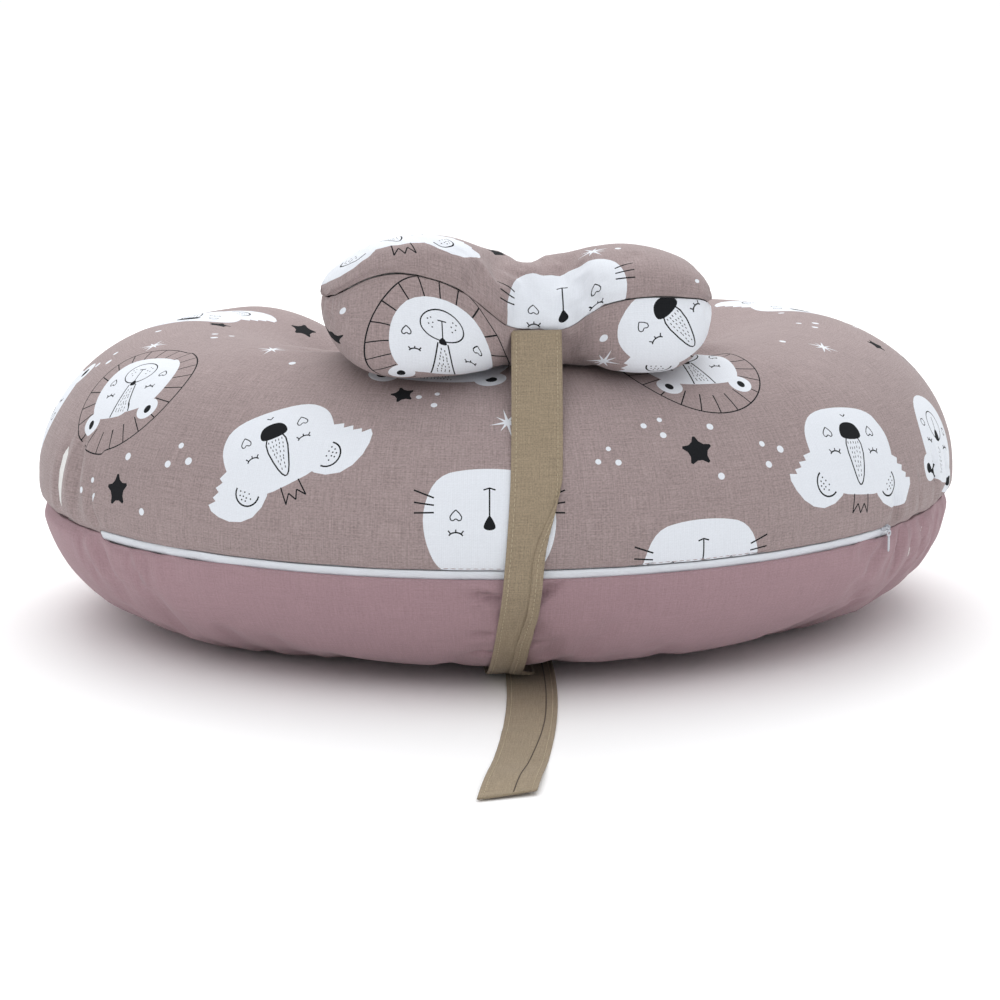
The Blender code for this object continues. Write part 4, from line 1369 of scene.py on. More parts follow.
def lobe_depth(place, lobe):
    centre, half_length, half_depth = lobe
    reach = np.abs(place - centre) / half_length
    return half_depth * np.sqrt(np.maximum(0.0, 1 - reach**LOBE_ROUNDNESS))


def curve(table, place):
    """A smooth line through the points of a table in mm, read at places in metres."""
    xs, ys = np.array(table, float).T
    spot = np.clip(np.asarray(place) / MM, xs[0], xs[-1])
    i = np.clip(np.searchsorted(xs, spot, side="right") - 1, 0, len(xs) - 2)
    before = np.concatenate([xs[:1], xs[:-1]]), np.concatenate([ys[:1], ys[:-1]])
    after = np.concatenate([xs[1:], xs[-1:]]), np.concatenate([ys[1:], ys[-1:]])
    slope = (after[1] - before[1]) / (after[0] - before[0])
    run = xs[i + 1] - xs[i]
    t = (spot - xs[i]) / run
    ends = ys[i] * (1 + 2 * t) * (1 - t) ** 2 + ys[i + 1] * t * t * (3 - 2 * t)
    return MM * (ends + run * (slope[i] * t * (1 - t) ** 2 - slope[i + 1] * t * t * (1 - t)))


def head_half_depth(place):
    waist = HEAD_WAIST_DEPTH * np.exp(-(((place - HEAD_WAIST) / HEAD_WAIST_LENGTH) ** 4))
    return (lobe_depth(place, LEFT_LOBE) ** 4 + lobe_depth(place, RIGHT_LOBE) ** 4 + waist**4) ** 0.25


def resting_height(x, y):
    """The lowest height of the head pillow over a place: just above the main pillow's crown."""
    reach = np.abs(np.hypot(x, y - AXIS_Y) - FRONT_RADIUS) / (HALF_WIDTH + HEAD_REST_GAP)
    top = HALF_HEIGHT + (HALF_HEIGHT + HEAD_REST_GAP) * np.sqrt(np.maximum(0, 1 - reach**2))
    return np.where(reach < 1, top, SEAM_HEIGHT)


def head_surface(place, across, side):
    """The head pillow's even surface. across is 1 at the front seam and -1 at the rear seam."""
    middle_x, middle_y = FRONT_RADIUS * math.sin(HEAD_TURN), AXIS_Y - FRONT_RADIUS * math.cos(HEAD_TURN)
    reach = np.clip((place - HEAD_CENTRE) / HEAD_SPAN, -1, 1)
    half = head_half_depth(place) * np.minimum(1, np.sqrt(1 - reach**2) * 6)
    seam = curve(HEAD_MIDDLE_SEAM, place)
    edge = seam + (curve(HEAD_FRONT_SEAM, place) - seam) * across
    crown = np.sqrt(1 - np.abs(reach) ** HEAD_END_ROUNDNESS)
    drop = np.sqrt(1 - np.abs(reach) ** HEAD_LOW_END_ROUNDNESS)
    arch = np.maximum(0, 1 - across**2) ** HEAD_ARCH
    belly = HEAD_BELLY * drop * (1 - np.exp(-(((place - HEAD_WAIST) / HEAD_BELLY_START) ** 4)))
    belly = np.where(side < 0, belly, 0) * 2 * across * np.sqrt(np.maximum(0, 1 - across**2))
    x = middle_x + place * math.cos(HEAD_TURN) + (half * across + belly) * math.sin(HEAD_TURN)
    y = middle_y + place * math.sin(HEAD_TURN) - (half * across + belly) * math.cos(HEAD_TURN)
    rest = resting_height(x, y)
    top = edge + (curve(HEAD_CROWN, place) - seam) * crown * arch
    bottom = np.maximum(edge - (edge - rest) * drop * arch, rest)
    height = np.where(side > 0, top, bottom)
    return np.stack([x, y, height], -1)


def head_places(count):
    """Places along the head pillow, closer together towards its ends."""
    return HEAD_CENTRE - HEAD_SPAN * np.cos(math.pi * np.arange(count + 1) / count)


def head_skin():
    place = head_places(HEAD_ROWS)
    turn = math.pi * np.arange(2 * HEAD_SIDE) / HEAD_SIDE
    pp, tt = np.meshgrid(place, turn, indexing="ij")
    side = np.where(tt <= math.pi + 1e-9, 1, -1)
    grid = head_surface(pp, np.cos(tt), side)
    grid[0], grid[-1] = grid[0, 0], grid[-1, 0]
    pinned = np.zeros(grid.shape[:2])
    pinned[:, 0] = pinned[:, HEAD_SIDE] = 1
    resting = (side < 0) & (grid[..., 2] < resting_height(grid[..., 0], grid[..., 1]) + 0.5 * MM)
    pinned[resting] = 1
    out, slide, normals = settle(grid, pinned, pressure=5.0, growth=0.045)
    fade = np.ones_like(out)
    for _ in range(2):
        fade = np.where(resting, 0.0, fade)
        fade = (fade + np.roll(fade, 1, 1) + np.roll(fade, -1, 1)) / 3
    high = np.where(side > 0, HEAD_TOP_SWELL_LIMIT, HEAD_LOW_SWELL_LIMIT)
    out = soft_limit(out, SWELL_LIMIT, high) * np.where(resting, 0, fade)
    return Skin(grid + normals * out[..., None] + slide * 0.5 * fade[..., None])


class HeadPanel(CoverPanel):
    width = 0.15
    seam_dip = 1.0 * MM
    gather_size = 5 * MM

    def __init__(self, skin, side):
        self.skin, self.side, self.tag = skin, side, 30 + side
        if side > 0:
            half = skin.grid[2:-2, : HEAD_SIDE + 1]
        else:
            half = np.roll(skin.grid[2:-2], -HEAD_SIDE, axis=1)[:, HEAD_SIDE::-1]
        self.places = head_places(HEAD_ROWS)
        lengths = np.linalg.norm(np.diff(half, axis=1), axis=-1)
        self.widths = lengths.sum(1)
        steps = np.arange(HEAD_SIDE + 1)
        shares = np.linspace(0, 1, HEAD_SIDE + 1)
        reached = np.pad(np.cumsum(lengths, 1), ((0, 0), (1, 0)))
        self.even = np.array([np.interp(shares, row / row[-1], steps) for row in reached[1:-1]])
        self.even = np.pad(self.even, ((1, 1), (0, 0)), mode="edge")

    def zipness(self, along):
        return along * 0

    def scale(self, along):
        return np.interp(along, self.places, self.widths) / self.width

    def tip_direction(self, along):
        sign = np.sign(along - HEAD_CENTRE)
        return np.stack([sign * math.cos(HEAD_TURN), sign * math.sin(HEAD_TURN), 0 * along], -1)

    def surface(self, along, across):
        reach = np.clip((along - HEAD_CENTRE) / HEAD_SPAN, -1, 1)
        a = np.arccos(-reach) / math.pi * HEAD_ROWS
        share = np.clip(across / self.width, 0, 1) * HEAD_SIDE
        i = np.clip(a.astype(int), 0, HEAD_ROWS - 1)
        k = np.clip(share.astype(int), 0, HEAD_SIDE - 1)
        f, g = a - i, share - k
        low = self.even[i, k] * (1 - g) + self.even[i, k + 1] * g
        high = self.even[i + 1, k] * (1 - g) + self.even[i + 1, k + 1] * g
        step = low * (1 - f) + high * f
        return self.skin.points(a, step if self.side > 0 else 2 * HEAD_SIDE - step)

    def relief(self, along, across, near, far):
        cinch = np.exp(-(((along - HEAD_WAIST) / (26 * MM)) ** 2))
        pleat = lattice_noise(along / (6.5 * MM), across / (80 * MM), 41 + self.tag)
        depth = 1.9 * MM * cinch * np.maximum(pleat, -0.35)
        pucker = lattice_noise(along / (10 * MM), across / (40 * MM), 43 + self.tag)
        fade = np.exp(-near / (14 * MM)) + np.exp(-far / (14 * MM))
        return depth + 0.8 * MM * np.maximum(pucker, -0.2) * fade

    def domain(self, pitch):
        count = round(math.pi * HEAD_SPAN / pitch)
        return spaced(head_places(count), 0.02 * MM), across_steps(self.width, pitch * 0.75)


def head_cloth(panel):
    def to_cloth(along, across, x, y):
        u = np.clip(along + x, HEAD_LEFT + 0.5 * MM, HEAD_RIGHT - 0.5 * MM)
        return u, (across + y) / np.maximum(panel.scale(u), 0.05)

    return to_cloth


# ---- inside the covers


def filling(name, skin, sink, groove, seams, body):
    """The stuffing: one closed form inside a cover, pinched along its seams at these columns of the skin."""
    columns = seams[-1]
    rows = np.arange(2, skin.rows - 1, 2)
    aa, bb = np.meshgrid(rows.astype(float), np.arange(columns).astype(float), indexing="ij")
    da = skin.points(aa + 0.5, bb) - skin.points(aa - 0.5, bb)
    db = skin.points(aa, bb + 0.5) - skin.points(aa, bb - 0.5)
    away = np.min([np.abs(bb - seam) for seam in seams], axis=0)
    depth = sink + groove * np.exp(-((away / 1.6) ** 2))
    points = skin.points(aa, bb) - unit(np.cross(da, db)) * depth[..., None]
    poles = []
    for end, ring_points in ((0.0, points[0]), (skin.rows - 1.0, points[-1])):
        pole = skin.points(np.array([end]), np.array([0.0]))[0]
        poles.append(pole + (ring_points.mean(axis=0) - pole) * 0.5)
    verts = np.concatenate([points.reshape(-1, 3), poles])
    return add_object(name, verts, pole_faces(len(rows), columns), [LOOKS["fibre"]], body)


# ---- zip


def on_axis(turn, radius, height):
    """Points by their angle and distance from the axis of the front arc."""
    turn, radius, height = np.broadcast_arrays(*(np.asarray(v, float) for v in (turn, radius, height)))
    return np.stack([radius * np.sin(turn), AXIS_Y - radius * np.cos(turn), height], -1)


def directions(turn):
    """Outward from the axis, and along the arc, at one turn or a row of them."""
    out = np.stack([np.sin(turn), -np.cos(turn), 0 * turn], -1)
    return out, np.stack([np.cos(turn), np.sin(turn), 0 * turn], -1)


def swept(name, profile, turns, looks, body, rise, out):
    """A closed profile of (depth, height above the seam) swept round the front arc."""
    verts = []
    cloth = []
    along = distances(profile)
    for turn, up, push in zip(turns, rise, out):
        verts.append(on_axis(turn, SEAM_RADIUS + profile[:, 0] + push, SEAM_HEIGHT + profile[:, 1] + up))
        cloth.append(np.stack([np.full(len(profile), turn * SEAM_RADIUS), along], -1))
    faces = tube_faces(len(turns), len(profile))
    return add_object(name, np.concatenate(verts), faces, looks, body, uv=np.concatenate(cloth))


def zip_tapes():
    """Two woven tapes, folded along the slit between them. The upper one's end turns up past the slider."""
    turns = np.radians(np.arange(math.degrees(ZIP_LEFT) + 0.1, math.degrees(ZIP_RIGHT), 0.5))
    turns = np.append(turns, ZIP_RIGHT - math.radians(0.1))
    for side, word in ((1, "upper"), (-1, "lower")):
        face = [(-2.2, 0.85), (-1.6, 0.52), (-1.25, 0.58), (-1.12, 0.95), (-1.08, 1.6), (-1.12, 2.4)]
        face += [(-1.5, 3.2), (-2.0, 4.4), (-2.4, 6.2)]
        back = [(depth - 0.42, max(up, 0.8)) for depth, up in face[::-1]]
        profile = np.array([(depth, side * up) for depth, up in face + back[:-1]]) * MM
        if side > 0:
            profile = profile[::-1]
        sway = np.array([lattice_noise(t * 22 + side, 0.5, 61) for t in turns]) * 0.12 * MM
        past = np.clip((turns - SLIDER_TURN - math.radians(1.0)) / (ZIP_RIGHT - SLIDER_TURN), 0, 1)
        up = past**1.5 * (2.4 if side > 0 else -0.4) * MM
        push = past * (1.9 if side > 0 else 0.3) * MM
        tape = swept(f"zip_{word}_tape", profile, turns, [LOOKS["tape"]], "main_pillow", up + sway, push)
        stands_for(f"zip_tape_{word}")


def zip_coils():
    """Each side's coil: a nylon wire wound behind its tape, its turns between the other side's."""
    pitch = 1.3 * MM / SEAM_RADIUS
    start = ZIP_LEFT + STOP_LENGTH / SEAM_RADIUS + pitch
    end = SLIDER_TURN - 3.2 * MM / SEAM_RADIUS
    steps = 8
    count = int((end - start) / pitch)
    for side, word in ((1, "upper"), (-1, "lower")):
        phase = np.arange(count * steps + 1) / steps
        turn = start + (phase + (0.5 if side < 0 else 0.0)) * pitch
        depth = (-2.75 + 0.72 * np.cos(math.tau * phase)) * MM
        up = side * (0.78 + 0.95 * np.sin(math.tau * phase)) * MM
        path = on_axis(turn, SEAM_RADIUS + depth, SEAM_HEIGHT + up)
        heap = Heap()
        heap.tube(path, 0.27 * MM, 5, up=(0.02, 0.03, 1.0))
        coil = heap.build(f"zip_{word}_coil", LOOKS["coil"], "main_pillow")
        stands_for(f"zip_coil_{word}")


BLOCK_SIDES = 24
BLOCK_SQUARENESS = 0.35
BLOCK_EASE = 0.3


def block(centre, axes, sizes):
    """A box with rounded edges, as verts and faces, about a centre with three half sizes."""
    turns = math.tau * (np.arange(BLOCK_SIDES) + 0.5) / BLOCK_SIDES
    corners = [np.sign(way) * np.abs(way) ** BLOCK_SQUARENESS for way in (np.cos(turns), np.sin(turns))]
    rings = [(-1, 1 - BLOCK_EASE), (-1 + BLOCK_EASE * 0.5, 1), (1 - BLOCK_EASE * 0.5, 1), (1, 1 - BLOCK_EASE)]
    verts = []
    for depth, wide in rings:
        for x, y in zip(*corners):
            offset = axes[0] * x * wide * sizes[0] + axes[1] * y * wide * sizes[1]
            verts.append(centre + offset + axes[2] * depth * sizes[2])
    return verts, tube_faces(len(rings), BLOCK_SIDES)


SHARP_FROM = math.radians(42)


def gather_parts(name, parts, look, body):
    verts, faces = [], []
    for part_verts, part_faces in parts:
        start = len(verts)
        verts += list(part_verts)
        faces += [tuple(start + i for i in face) for face in part_faces]
    made = add_object(name, verts, faces, [look], body)
    made.data.set_sharp_from_angle(angle=SHARP_FROM)
    return made


def slider_axes():
    return *directions(SLIDER_TURN), UP, on_axis(SLIDER_TURN, SEAM_RADIUS, SEAM_HEIGHT)


def zip_stops():
    """One wide stop across both tapes at the left end, and one on each tape at the right end."""
    half_turn = STOP_LENGTH / 2 / SEAM_RADIUS
    for name, turn, rise, half_height in (
        ("zip_bottom_stop", ZIP_LEFT + half_turn, 0.0, 2.0 * MM),
        ("zip_top_stop_upper", ZIP_RIGHT - half_turn, 1.35 * MM, 0.8 * MM),
        ("zip_top_stop_lower", ZIP_RIGHT - half_turn, -1.35 * MM, 0.8 * MM),
    ):
        out, along = directions(turn)
        centre = on_axis(turn, SEAM_RADIUS - 2.6 * MM, SEAM_HEIGHT + rise)
        part = block(centre, (along, UP, out), (STOP_LENGTH / 2, half_height, 0.9 * MM))
        stop = gather_parts(name + "_clip", [part], LOOKS["metal"], "main_pillow")
        stands_for(name)


def plate(outline, centre, axes, low, high, bevel):
    """A flat plate with eased edges from an outline in (along, up), between two depths."""
    outline = np.asarray(outline)
    shrink = 1 - bevel / np.abs(outline).max()
    rows = [(low, shrink), (low + bevel, 1.0), (high - bevel, 1.0), (high, shrink)]
    verts = []
    for depth, wide in rows:
        for x, y in outline * wide:
            verts.append(centre + axes[0] * x + axes[1] * y + axes[2] * depth)
    return verts, tube_faces(len(rows), len(outline))


def zip_slider():
    out, along, up, seam = slider_axes()
    axes = (along, up, out)
    shield = rounded([(-4.2, -1.9), (-1.6, -2.9), (2.4, -2.95), (4.2, -2.4), (3.4, -0.5), (3.4, 0.5),
                      (4.2, 2.4), (2.4, 2.95), (-1.6, 2.9), (-4.2, 1.9)], 2) * MM
    parts = [plate(shield, seam, axes, -1.0 * MM, -0.3 * MM, 0.2 * MM)]
    parts.append(plate(shield, seam, axes, -5.1 * MM, -4.4 * MM, 0.2 * MM))
    wedge = rounded([(-0.6, 0), (1.4, 0.22), (3.0, 0.24), (3.6, 0), (3.0, -0.24), (1.4, -0.22)], 1) * MM
    parts.append(plate(wedge, seam, axes, -4.5 * MM, -0.9 * MM, 0.05 * MM))
    for side in (1, -1):
        centre = seam + up * side * 2.7 * MM - out * 3.6 * MM
        parts.append(block(centre, (along, up, out), (2.9 * MM, 0.28 * MM, 1.0 * MM)))
    heap = Heap()
    arch = []
    for x, y in ((-3.3, -0.6), (-3.25, 0.4), (-2.9, 1.2), (-2.1, 1.65), (-1.0, 1.75), (0, 1.78),
                 (1.0, 1.75), (2.1, 1.65), (2.9, 1.2), (3.25, 0.4), (3.3, -0.6)):
        arch.append(seam + along * x * MM + out * y * MM)
    heap.tube(arch, 0.48 * MM, 10, up=up, taper=False)
    parts.append((heap.verts, heap.faces))
    slider = gather_parts("zip_slider_body", parts, LOOKS["metal"], "slider")
    stands_for("zip_slider")


def zip_pull():
    """A loop round the slider's bridge, an eyelet and a slim tongue."""
    out, along, up, seam = slider_axes()
    pivot = seam + out * 1.7 * MM
    heap = Heap()
    turns = np.linspace(0, math.tau, 25)
    loop = [pivot + (out * math.cos(t) * 1.3 + up * (math.sin(t) * 1.5 - 0.3)) * MM for t in turns]
    heap.tube(loop, 0.42 * MM, 8, up=along, taper=False)
    eye = pivot - up * 3.9 * MM + out * 0.7 * MM
    ring_path = [eye + (along * math.cos(t) * 1.15 + up * math.sin(t)) * 1.6 * MM for t in turns]
    heap.tube(ring_path, 0.72 * MM, 8, up=out, flat=0.75, taper=False)
    spots = ((1.9, 0), (3, 0), (5, 0.05), (8, 0.05), (11, 0), (12.0, 0))
    tongue = [eye - up * y * MM + out * z * MM for y, z in spots]
    heap.tube(tongue, 1.15 * MM, 12, up=out, flat=0.5)
    pull = heap.build("zip_pull", LOOKS["metal"], "pull")
    stands_for("zip_pull_tab")


# ---- strap


def strap_turn(height):
    return STRAP_TURN_AT_FLOOR + STRAP_LEAN * height


def even_path(points, pitch):
    """A polyline with its corners cut once, read at even steps."""
    points = np.asarray(points, float)
    cut = np.stack([points[:-1] * 0.75 + points[1:] * 0.25, points[:-1] * 0.25 + points[1:] * 0.75], 1)
    points = np.concatenate([points[:1], cut.reshape(-1, 2), points[-1:]])
    along = distances(points)
    goal = np.linspace(0, along[-1], max(round(along[-1] / pitch), 4) + 1)
    return np.stack([np.interp(goal, along, points[:, k]) for k in range(2)], -1)


def taut(points):
    """Drops the points that a band pulled tight round the outside doesn't touch."""
    kept = []
    for point in points:
        while len(kept) > 1:
            ahead, back = kept[-1] - kept[-2], point - kept[-1]
            if ahead[0] * back[1] - ahead[1] * back[0] < 0:
                break
            kept.pop()
        kept.append(point)
    return kept


STAND_OFF = 1.0 * MM


def skin_points(first, last, count):
    phi = np.radians(np.linspace(first, last, count))
    offset, height = section(phi)
    away = unit(np.stack([np.cos(phi) / HALF_WIDTH, np.sin(phi) / HALF_HEIGHT], -1))
    return np.stack([offset, height], -1) + away * STAND_OFF


def front_path():
    points = [np.array([STRAP_TOP_OFFSET, STRAP_TOP])]
    around = list(skin_points(80, -70, 60))
    pass_offset = HALF_WIDTH * math.cos(SEAM_ANGLE) + 4.1 * MM
    around += [np.array([pass_offset, SEAM_HEIGHT + rise]) for rise in (4 * MM, -17.5 * MM)]
    around.sort(key=lambda point: -point[1])
    points += [np.array([p[0], max(p[1], STRAP_FLOOR_HEIGHT)]) for p in around]
    points += [np.array([x, STRAP_FLOOR_HEIGHT]) for x in (0.03, 0.0, -0.03, -0.06)]
    points = taut(points)
    points.append(np.array([KNOT_OFFSET + 0.012, 8 * MM]))
    return points


def rear_path():
    points = [np.array([-STRAP_TOP_OFFSET, STRAP_TOP])]
    points += list(skin_points(100, 210, 50))
    mirrored = taut([np.array([-p[0], p[1]]) for p in points])
    path = [np.array([-p[0], p[1]]) for p in mirrored]
    path.append(np.array([KNOT_OFFSET - 2 * MM, 17 * MM]))
    return path


BAND_STEPS = 30
BAND_PITCH = 2.4 * MM
BEND = 0.55 * MM


def folded_over(place, edge, fold):
    """Where a place across a band lies, and how far it stands up, once the band's edge is turned over."""
    past = np.maximum(place - (edge - fold), 0.0) * (fold > 0.3 * MM)
    turn = np.minimum(past / BEND, math.pi)
    back = np.maximum(past - math.pi * BEND, 0.0)
    return np.where(past > 0, edge - fold + BEND * np.sin(turn) - back, place), BEND * (1 - np.cos(turn))


def band(name, middle, across, normal, seed, fold=None, closing=None):
    """A flat double band, hemmed along both edges: a closed mesh and its two stitch rows.

    middle, across and normal hold a row of points and directions along the band. fold is how much of its
    right edge is turned over at each row, and closing is where across it the strip's own closing edge runs.
    A thin dark brown tube laid along that edge is painted shade in its groove.
    """
    fold = np.zeros(len(middle)) if fold is None else fold
    along = distances(middle)
    s = np.linspace(-1, 1, BAND_STEPS + 1)
    half = STRAP_WIDTH / 2
    edge = (1 - np.abs(s)) * half
    puff = 0.42 * MM * (1 - 0.55 * np.exp(-(((edge - HEM) / (0.8 * MM)) ** 2)))
    puff = puff * np.sqrt(np.clip(edge / (0.8 * MM), 0, 1)) + 0.05 * MM
    verts, cloth = [], []
    for i in range(len(middle)):
        wave = 0.28 * MM * lattice_noise(along[i] / (14 * MM) + s * 0, s * 1.4 + 5, seed)
        rim = 0.25 * MM * lattice_noise(along[i] / (9 * MM) + s * 0, s * 0 + 9, seed + 1) * np.abs(s) ** 6
        spot, stand = folded_over(s * half, half, fold[i])
        turned = np.where(stand > BEND, -1, 1)
        for face in (1, -1):
            for k in range(len(s))[::face]:
                lift = wave[k] + rim[k] + stand[k] + face * puff[k] * turned[k]
                verts.append(middle[i] + across[i] * spot[k] + normal[i] * lift)
                cloth.append((along[i], s[k] * half + (0 if face > 0 else 0.05)))
    columns = 2 * len(s)
    beige = [LOOKS["beige"]]
    piece = add_object(name, verts, tube_faces(len(middle), columns), beige, "head_pillow", uv=cloth)
    thread = Heap()
    grid = np.array(verts).reshape(len(middle), columns, 3)
    for sign in (-1, 1):
        spot = (sign * (1 - HEM / half) + 1) / 2 * BAND_STEPS
        k, f = int(spot), spot - int(spot)
        line = grid[:, k] * (1 - f) + grid[:, k + 1] * f
        under = grid[:, columns - 1 - k] * (1 - f) + grid[:, columns - 2 - k] * f
        line = np.where((sign * fold > HEM)[:, None], under, line)
        for start in np.arange(2 * MM, along[-1] - 3 * MM, STITCH_PITCH):
            goal = np.linspace(start, start + STITCH_PITCH * STITCH_SHARE, 4)
            spots = np.stack([np.interp(goal, along, line[:, c]) for c in range(3)], -1)
            index = np.clip(np.searchsorted(along, goal), 0, len(along) - 1)
            raise_by = np.array([-0.05, 0.16, 0.16, -0.05]) * MM
            thread.tube(spots + normal[index] * raise_by[:, None], 0.24 * MM, 5, up=normal[index[0]])
    parts = [piece, thread.build(name + "_stitching", LOOKS["beige_thread"], "head_pillow")]
    # A thin dark tube along the closing edge: painted shade where the strip's edge lies over its face.
    if closing is not None:
        spot = (closing / half + 1) / 2 * BAND_STEPS
        k = np.clip(spot.astype(int), 0, BAND_STEPS - 1)
        f = (spot - k)[:, None]
        rows = np.arange(len(middle))
        line = grid[rows, k] * (1 - f) + grid[rows, k + 1] * f
        seam = Heap()
        seam.tube((line + normal * 0.02 * MM)[1:-1], 0.34 * MM, 6, up=normal[0])
        parts.append(seam.build(name + "_painted_closing_shade", LOOKS["painted_edge_shade"], "head_pillow"))
    return piece, (STRAP_WIDTH, float(along[-1]))


# In front, the strap's right edge is turned over from one height down, and a little more from a lower one
FOLD = 8.2 * MM
FOLD_FROM = 0.150
LOW_FOLD = 1.6 * MM
LOW_FOLD_FROM = 0.062


def radial_band(name, path, node, side, seed):
    """A band that follows a path of (outward offset, height) in the plane of the strap."""
    path = even_path(path, BAND_PITCH)
    ahead = unit(np.gradient(path, axis=0))
    turn = strap_turn(path[:, 1])
    middle = on_axis(turn, FRONT_RADIUS + path[:, 0], path[:, 1])
    out, across = directions(turn)
    normal = (out * -ahead[:, 1:] + UP * ahead[:, :1]) * side
    fold = None
    if side > 0:
        height = path[:, 1]
        fold = FOLD * smooth((FOLD_FROM - height) / 0.06) + LOW_FOLD * smooth((LOW_FOLD_FROM - height) / 0.03)
        fold = fold * smooth((path[:, 0] - 0.03) / 0.02)
    piece, flat = band(name, middle, across, normal, seed, fold=fold)
    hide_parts(node)


def floor_band(name, start, end, bow, node, seed, ripple=0.0, skew=0.0, closing=False):
    """A loose end lying on the floor between two points given from the axis.

    bow bends it sideways, ripple is how high the waves near its end stand off the floor, skew cuts its end at
    a slant, and closing gives it the strip's closing edge, drawn as a dark line of painted shade.
    """
    start, end = np.array(start), np.array(end)
    run = end - start
    size = np.linalg.norm(run)
    share = np.linspace(0, 1, max(int(size / BAND_PITCH), 8))
    bend = np.array([-run[1], run[0]]) / size * (bow * np.sin(math.pi * share))[:, None]
    plan = start + run * share[:, None] + bend
    distance = share * size
    waves = 0.5 + 0.5 * np.sin(distance / 0.017 + 1.0)
    lift = 0.75 * MM + ripple * smooth((distance - 0.27) / 0.05) * waves
    middle = np.stack([plan[:, 0], AXIS_Y + plan[:, 1], lift], -1)
    ahead = unit(np.gradient(middle, axis=0))
    across = unit(np.cross(ahead, UP)) - ahead * (skew * smooth((share - 0.9) / 0.1))[:, None]
    normal = unit(np.cross(across, ahead))
    line = -(8.5 - 5.5 * smooth((share - 0.55) / 0.45)) * MM if closing else None
    piece, flat = band(name, middle, across, normal, seed, closing=line)
    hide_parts(node)


def strap_knot():
    """The tied knot: two bights of the band pulled round each other, and a wrap over them."""
    turn = strap_turn(0)
    out, along = directions(turn)
    centre = on_axis(turn, FRONT_RADIUS + KNOT_OFFSET, 11.2 * MM)
    heap = Heap()
    for flip in (1, -1):
        path = []
        for t in np.linspace(0, 1, 22):
            swing = math.pi * (0.15 + 1.7 * t)
            x = -flip * 11.5 * math.cos(swing * 0.5 + 0.3)
            y = 6.5 * math.sin(swing) * flip
            z = 4.2 * math.cos(swing * 1.5) * flip
            path.append(centre + (along * x + out * y + UP * z) * MM)
        heap.tube(path, 4.6 * MM, 14, up=UP, flat=0.72)
    wrap = []
    for t in np.linspace(0, math.tau * 1.02, 30):
        lean = along * 1.6 * math.sin(t * 0.5)
        wrap.append(centre + (out * 6.8 * math.cos(t) + UP * 5.0 * math.sin(t) + lean) * MM)
    heap.tube(wrap, 4.2 * MM, 14, up=along, flat=0.75, taper=False)
    cloth = [(x * 1.3 + z, y + z) for x, y, z in heap.verts]
    knot = add_object("strap_knot_tied", heap.verts, heap.faces, [LOOKS["beige"]], "head_pillow", uv=cloth)
    stands_for("strap_knot")


ZIP_STITCH_LINE = 1.1 * MM


def zip_stitches(word, panel, look):
    """A row of stitches through a cover panel beside its folded edge, along the zip."""
    thread = Heap()
    start, end = FRONT_RADIUS * ZIP_LEFT + 2 * MM, FRONT_RADIUS * ZIP_RIGHT - 2 * MM
    raise_by = np.array([-0.08, 0.12, 0.12, -0.08])[:, None] * MM
    for place in np.arange(start, end, STITCH_PITCH):
        us = place + np.array([0, 0.25, 0.5, STITCH_SHARE]) * STITCH_PITCH
        ts = np.full(4, ZIP_STITCH_LINE)
        normal = panel.normals(us, ts)
        thread.tube(panel.place(us, ts) + normal * raise_by, 0.2 * MM, 5, up=normal[1])
    made = thread.build(f"zip_stitches_{word}", look, "main_pillow")


# ---- making it


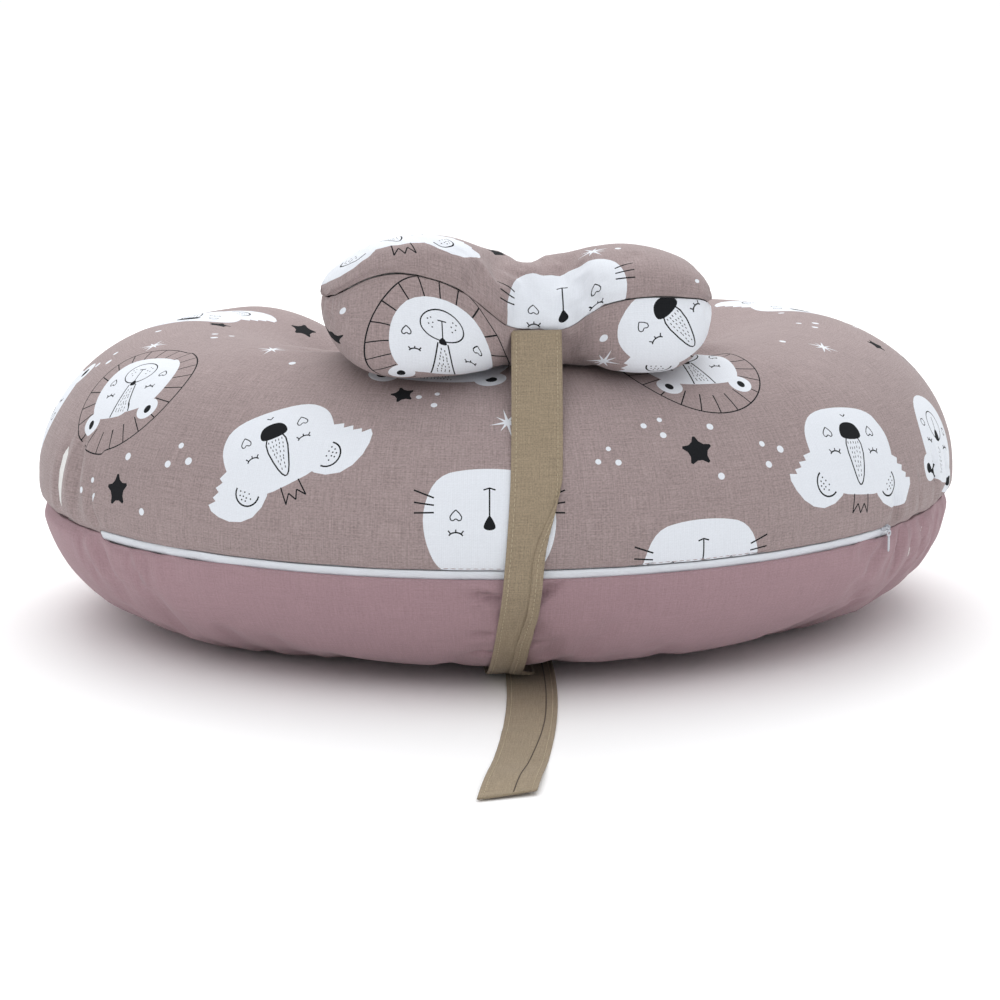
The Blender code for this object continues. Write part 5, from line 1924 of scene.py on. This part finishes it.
def main_pillow():
    """Both cover panels, the casings and stuffing inside them, and the zip between them."""
    skin = main_skin()
    top, low = MainPanel(skin, 1), MainPanel(skin, -1)
    outlines = lay_print(MAIN_PRINT, main_cloth, top.width)
    printed = panel_object("cover_printed", top, outlines, PRINT_LOOKS, "main_pillow")
    stands_for("cover_top_panel")
    plain = panel_object("cover_plain", low, [], [LOOKS["pink"]], "main_pillow")
    stands_for("cover_bottom_panel")
    for panel, word in ((top, "top"), (low, "bottom")):
        inside = {"sink": 2.2 * MM, "groove": 4.2 * MM, "pitch": 9.0 * MM}
        casing = panel_object(f"casing_{word}", panel, [], [LOOKS["fleece"]], "main_pillow", **inside)
        stands_for(f"inner_casing_{word}")
    seams = (0, TOP_STEPS, TOP_STEPS + LOW_STEPS)
    stuffing = filling("main_stuffing", skin, 6.5 * MM, 7 * MM, seams, "main_pillow")
    stands_for("main_filling")
    zip_tapes()
    zip_coils()
    zip_stops()
    zip_slider()
    zip_pull()
    zip_stitches("upper", top, LOOKS["taupe_thread"])
    zip_stitches("lower", low, LOOKS["pink_thread"])


def head_pillow():
    """Both printed panels and the stuffing between them."""
    skin = head_skin()
    for side, word, marks in ((1, "top", HEAD_PRINT_TOP), (-1, "bottom", HEAD_PRINT_LOW)):
        panel = HeadPanel(skin, side)
        outlines = lay_print(marks, head_cloth(panel), panel.width)
        piece = panel_object(f"head_{word}", panel, outlines, PRINT_LOOKS, "head_pillow")
        stands_for(f"head_{word}_panel")
    seams = (0, HEAD_SIDE, 2 * HEAD_SIDE)
    stuffing = filling("head_stuffing", skin, 4.5 * MM, 5 * MM, seams, "head_pillow")
    stands_for("head_filling")


def strap():
    """The run in front, the run behind, the knot between them and its two loose ends."""
    radial_band("strap_over_front", front_path(), "strap_front", 1, 71)
    radial_band("strap_down_rear", rear_path(), "strap_rear", -1, 73)
    strap_knot()
    turn = strap_turn(0)
    front, rear = FRONT_RADIUS + KNOT_OFFSET + 13.3 * MM, FRONT_RADIUS + KNOT_OFFSET - 13.6 * MM
    start = (front * math.sin(turn) + 13 * MM, -front * math.cos(turn) - 1 * MM)
    floor_band(
        "strap_tail_long", start, TAIL_END, 11 * MM, "strap_tail_front", 75, 2.6 * MM, skew=-0.5, closing=True
    )
    start = (rear * math.sin(turn), -rear * math.cos(turn))
    floor_band("strap_tail_short", start, REAR_TAIL_END, 2 * MM, "strap_tail_rear", 77)


look_from_the_front()
sky()
for box in SOFTBOXES:
    softbox(*box)
bpy.context.scene.view_settings.view_transform = "Standard"
paper_floor()
LOOKS = make_looks()
PRINT_LOOKS = [LOOKS["taupe"], LOOKS["white"], LOOKS["black"]]
main_pillow()
head_pillow()
strap()
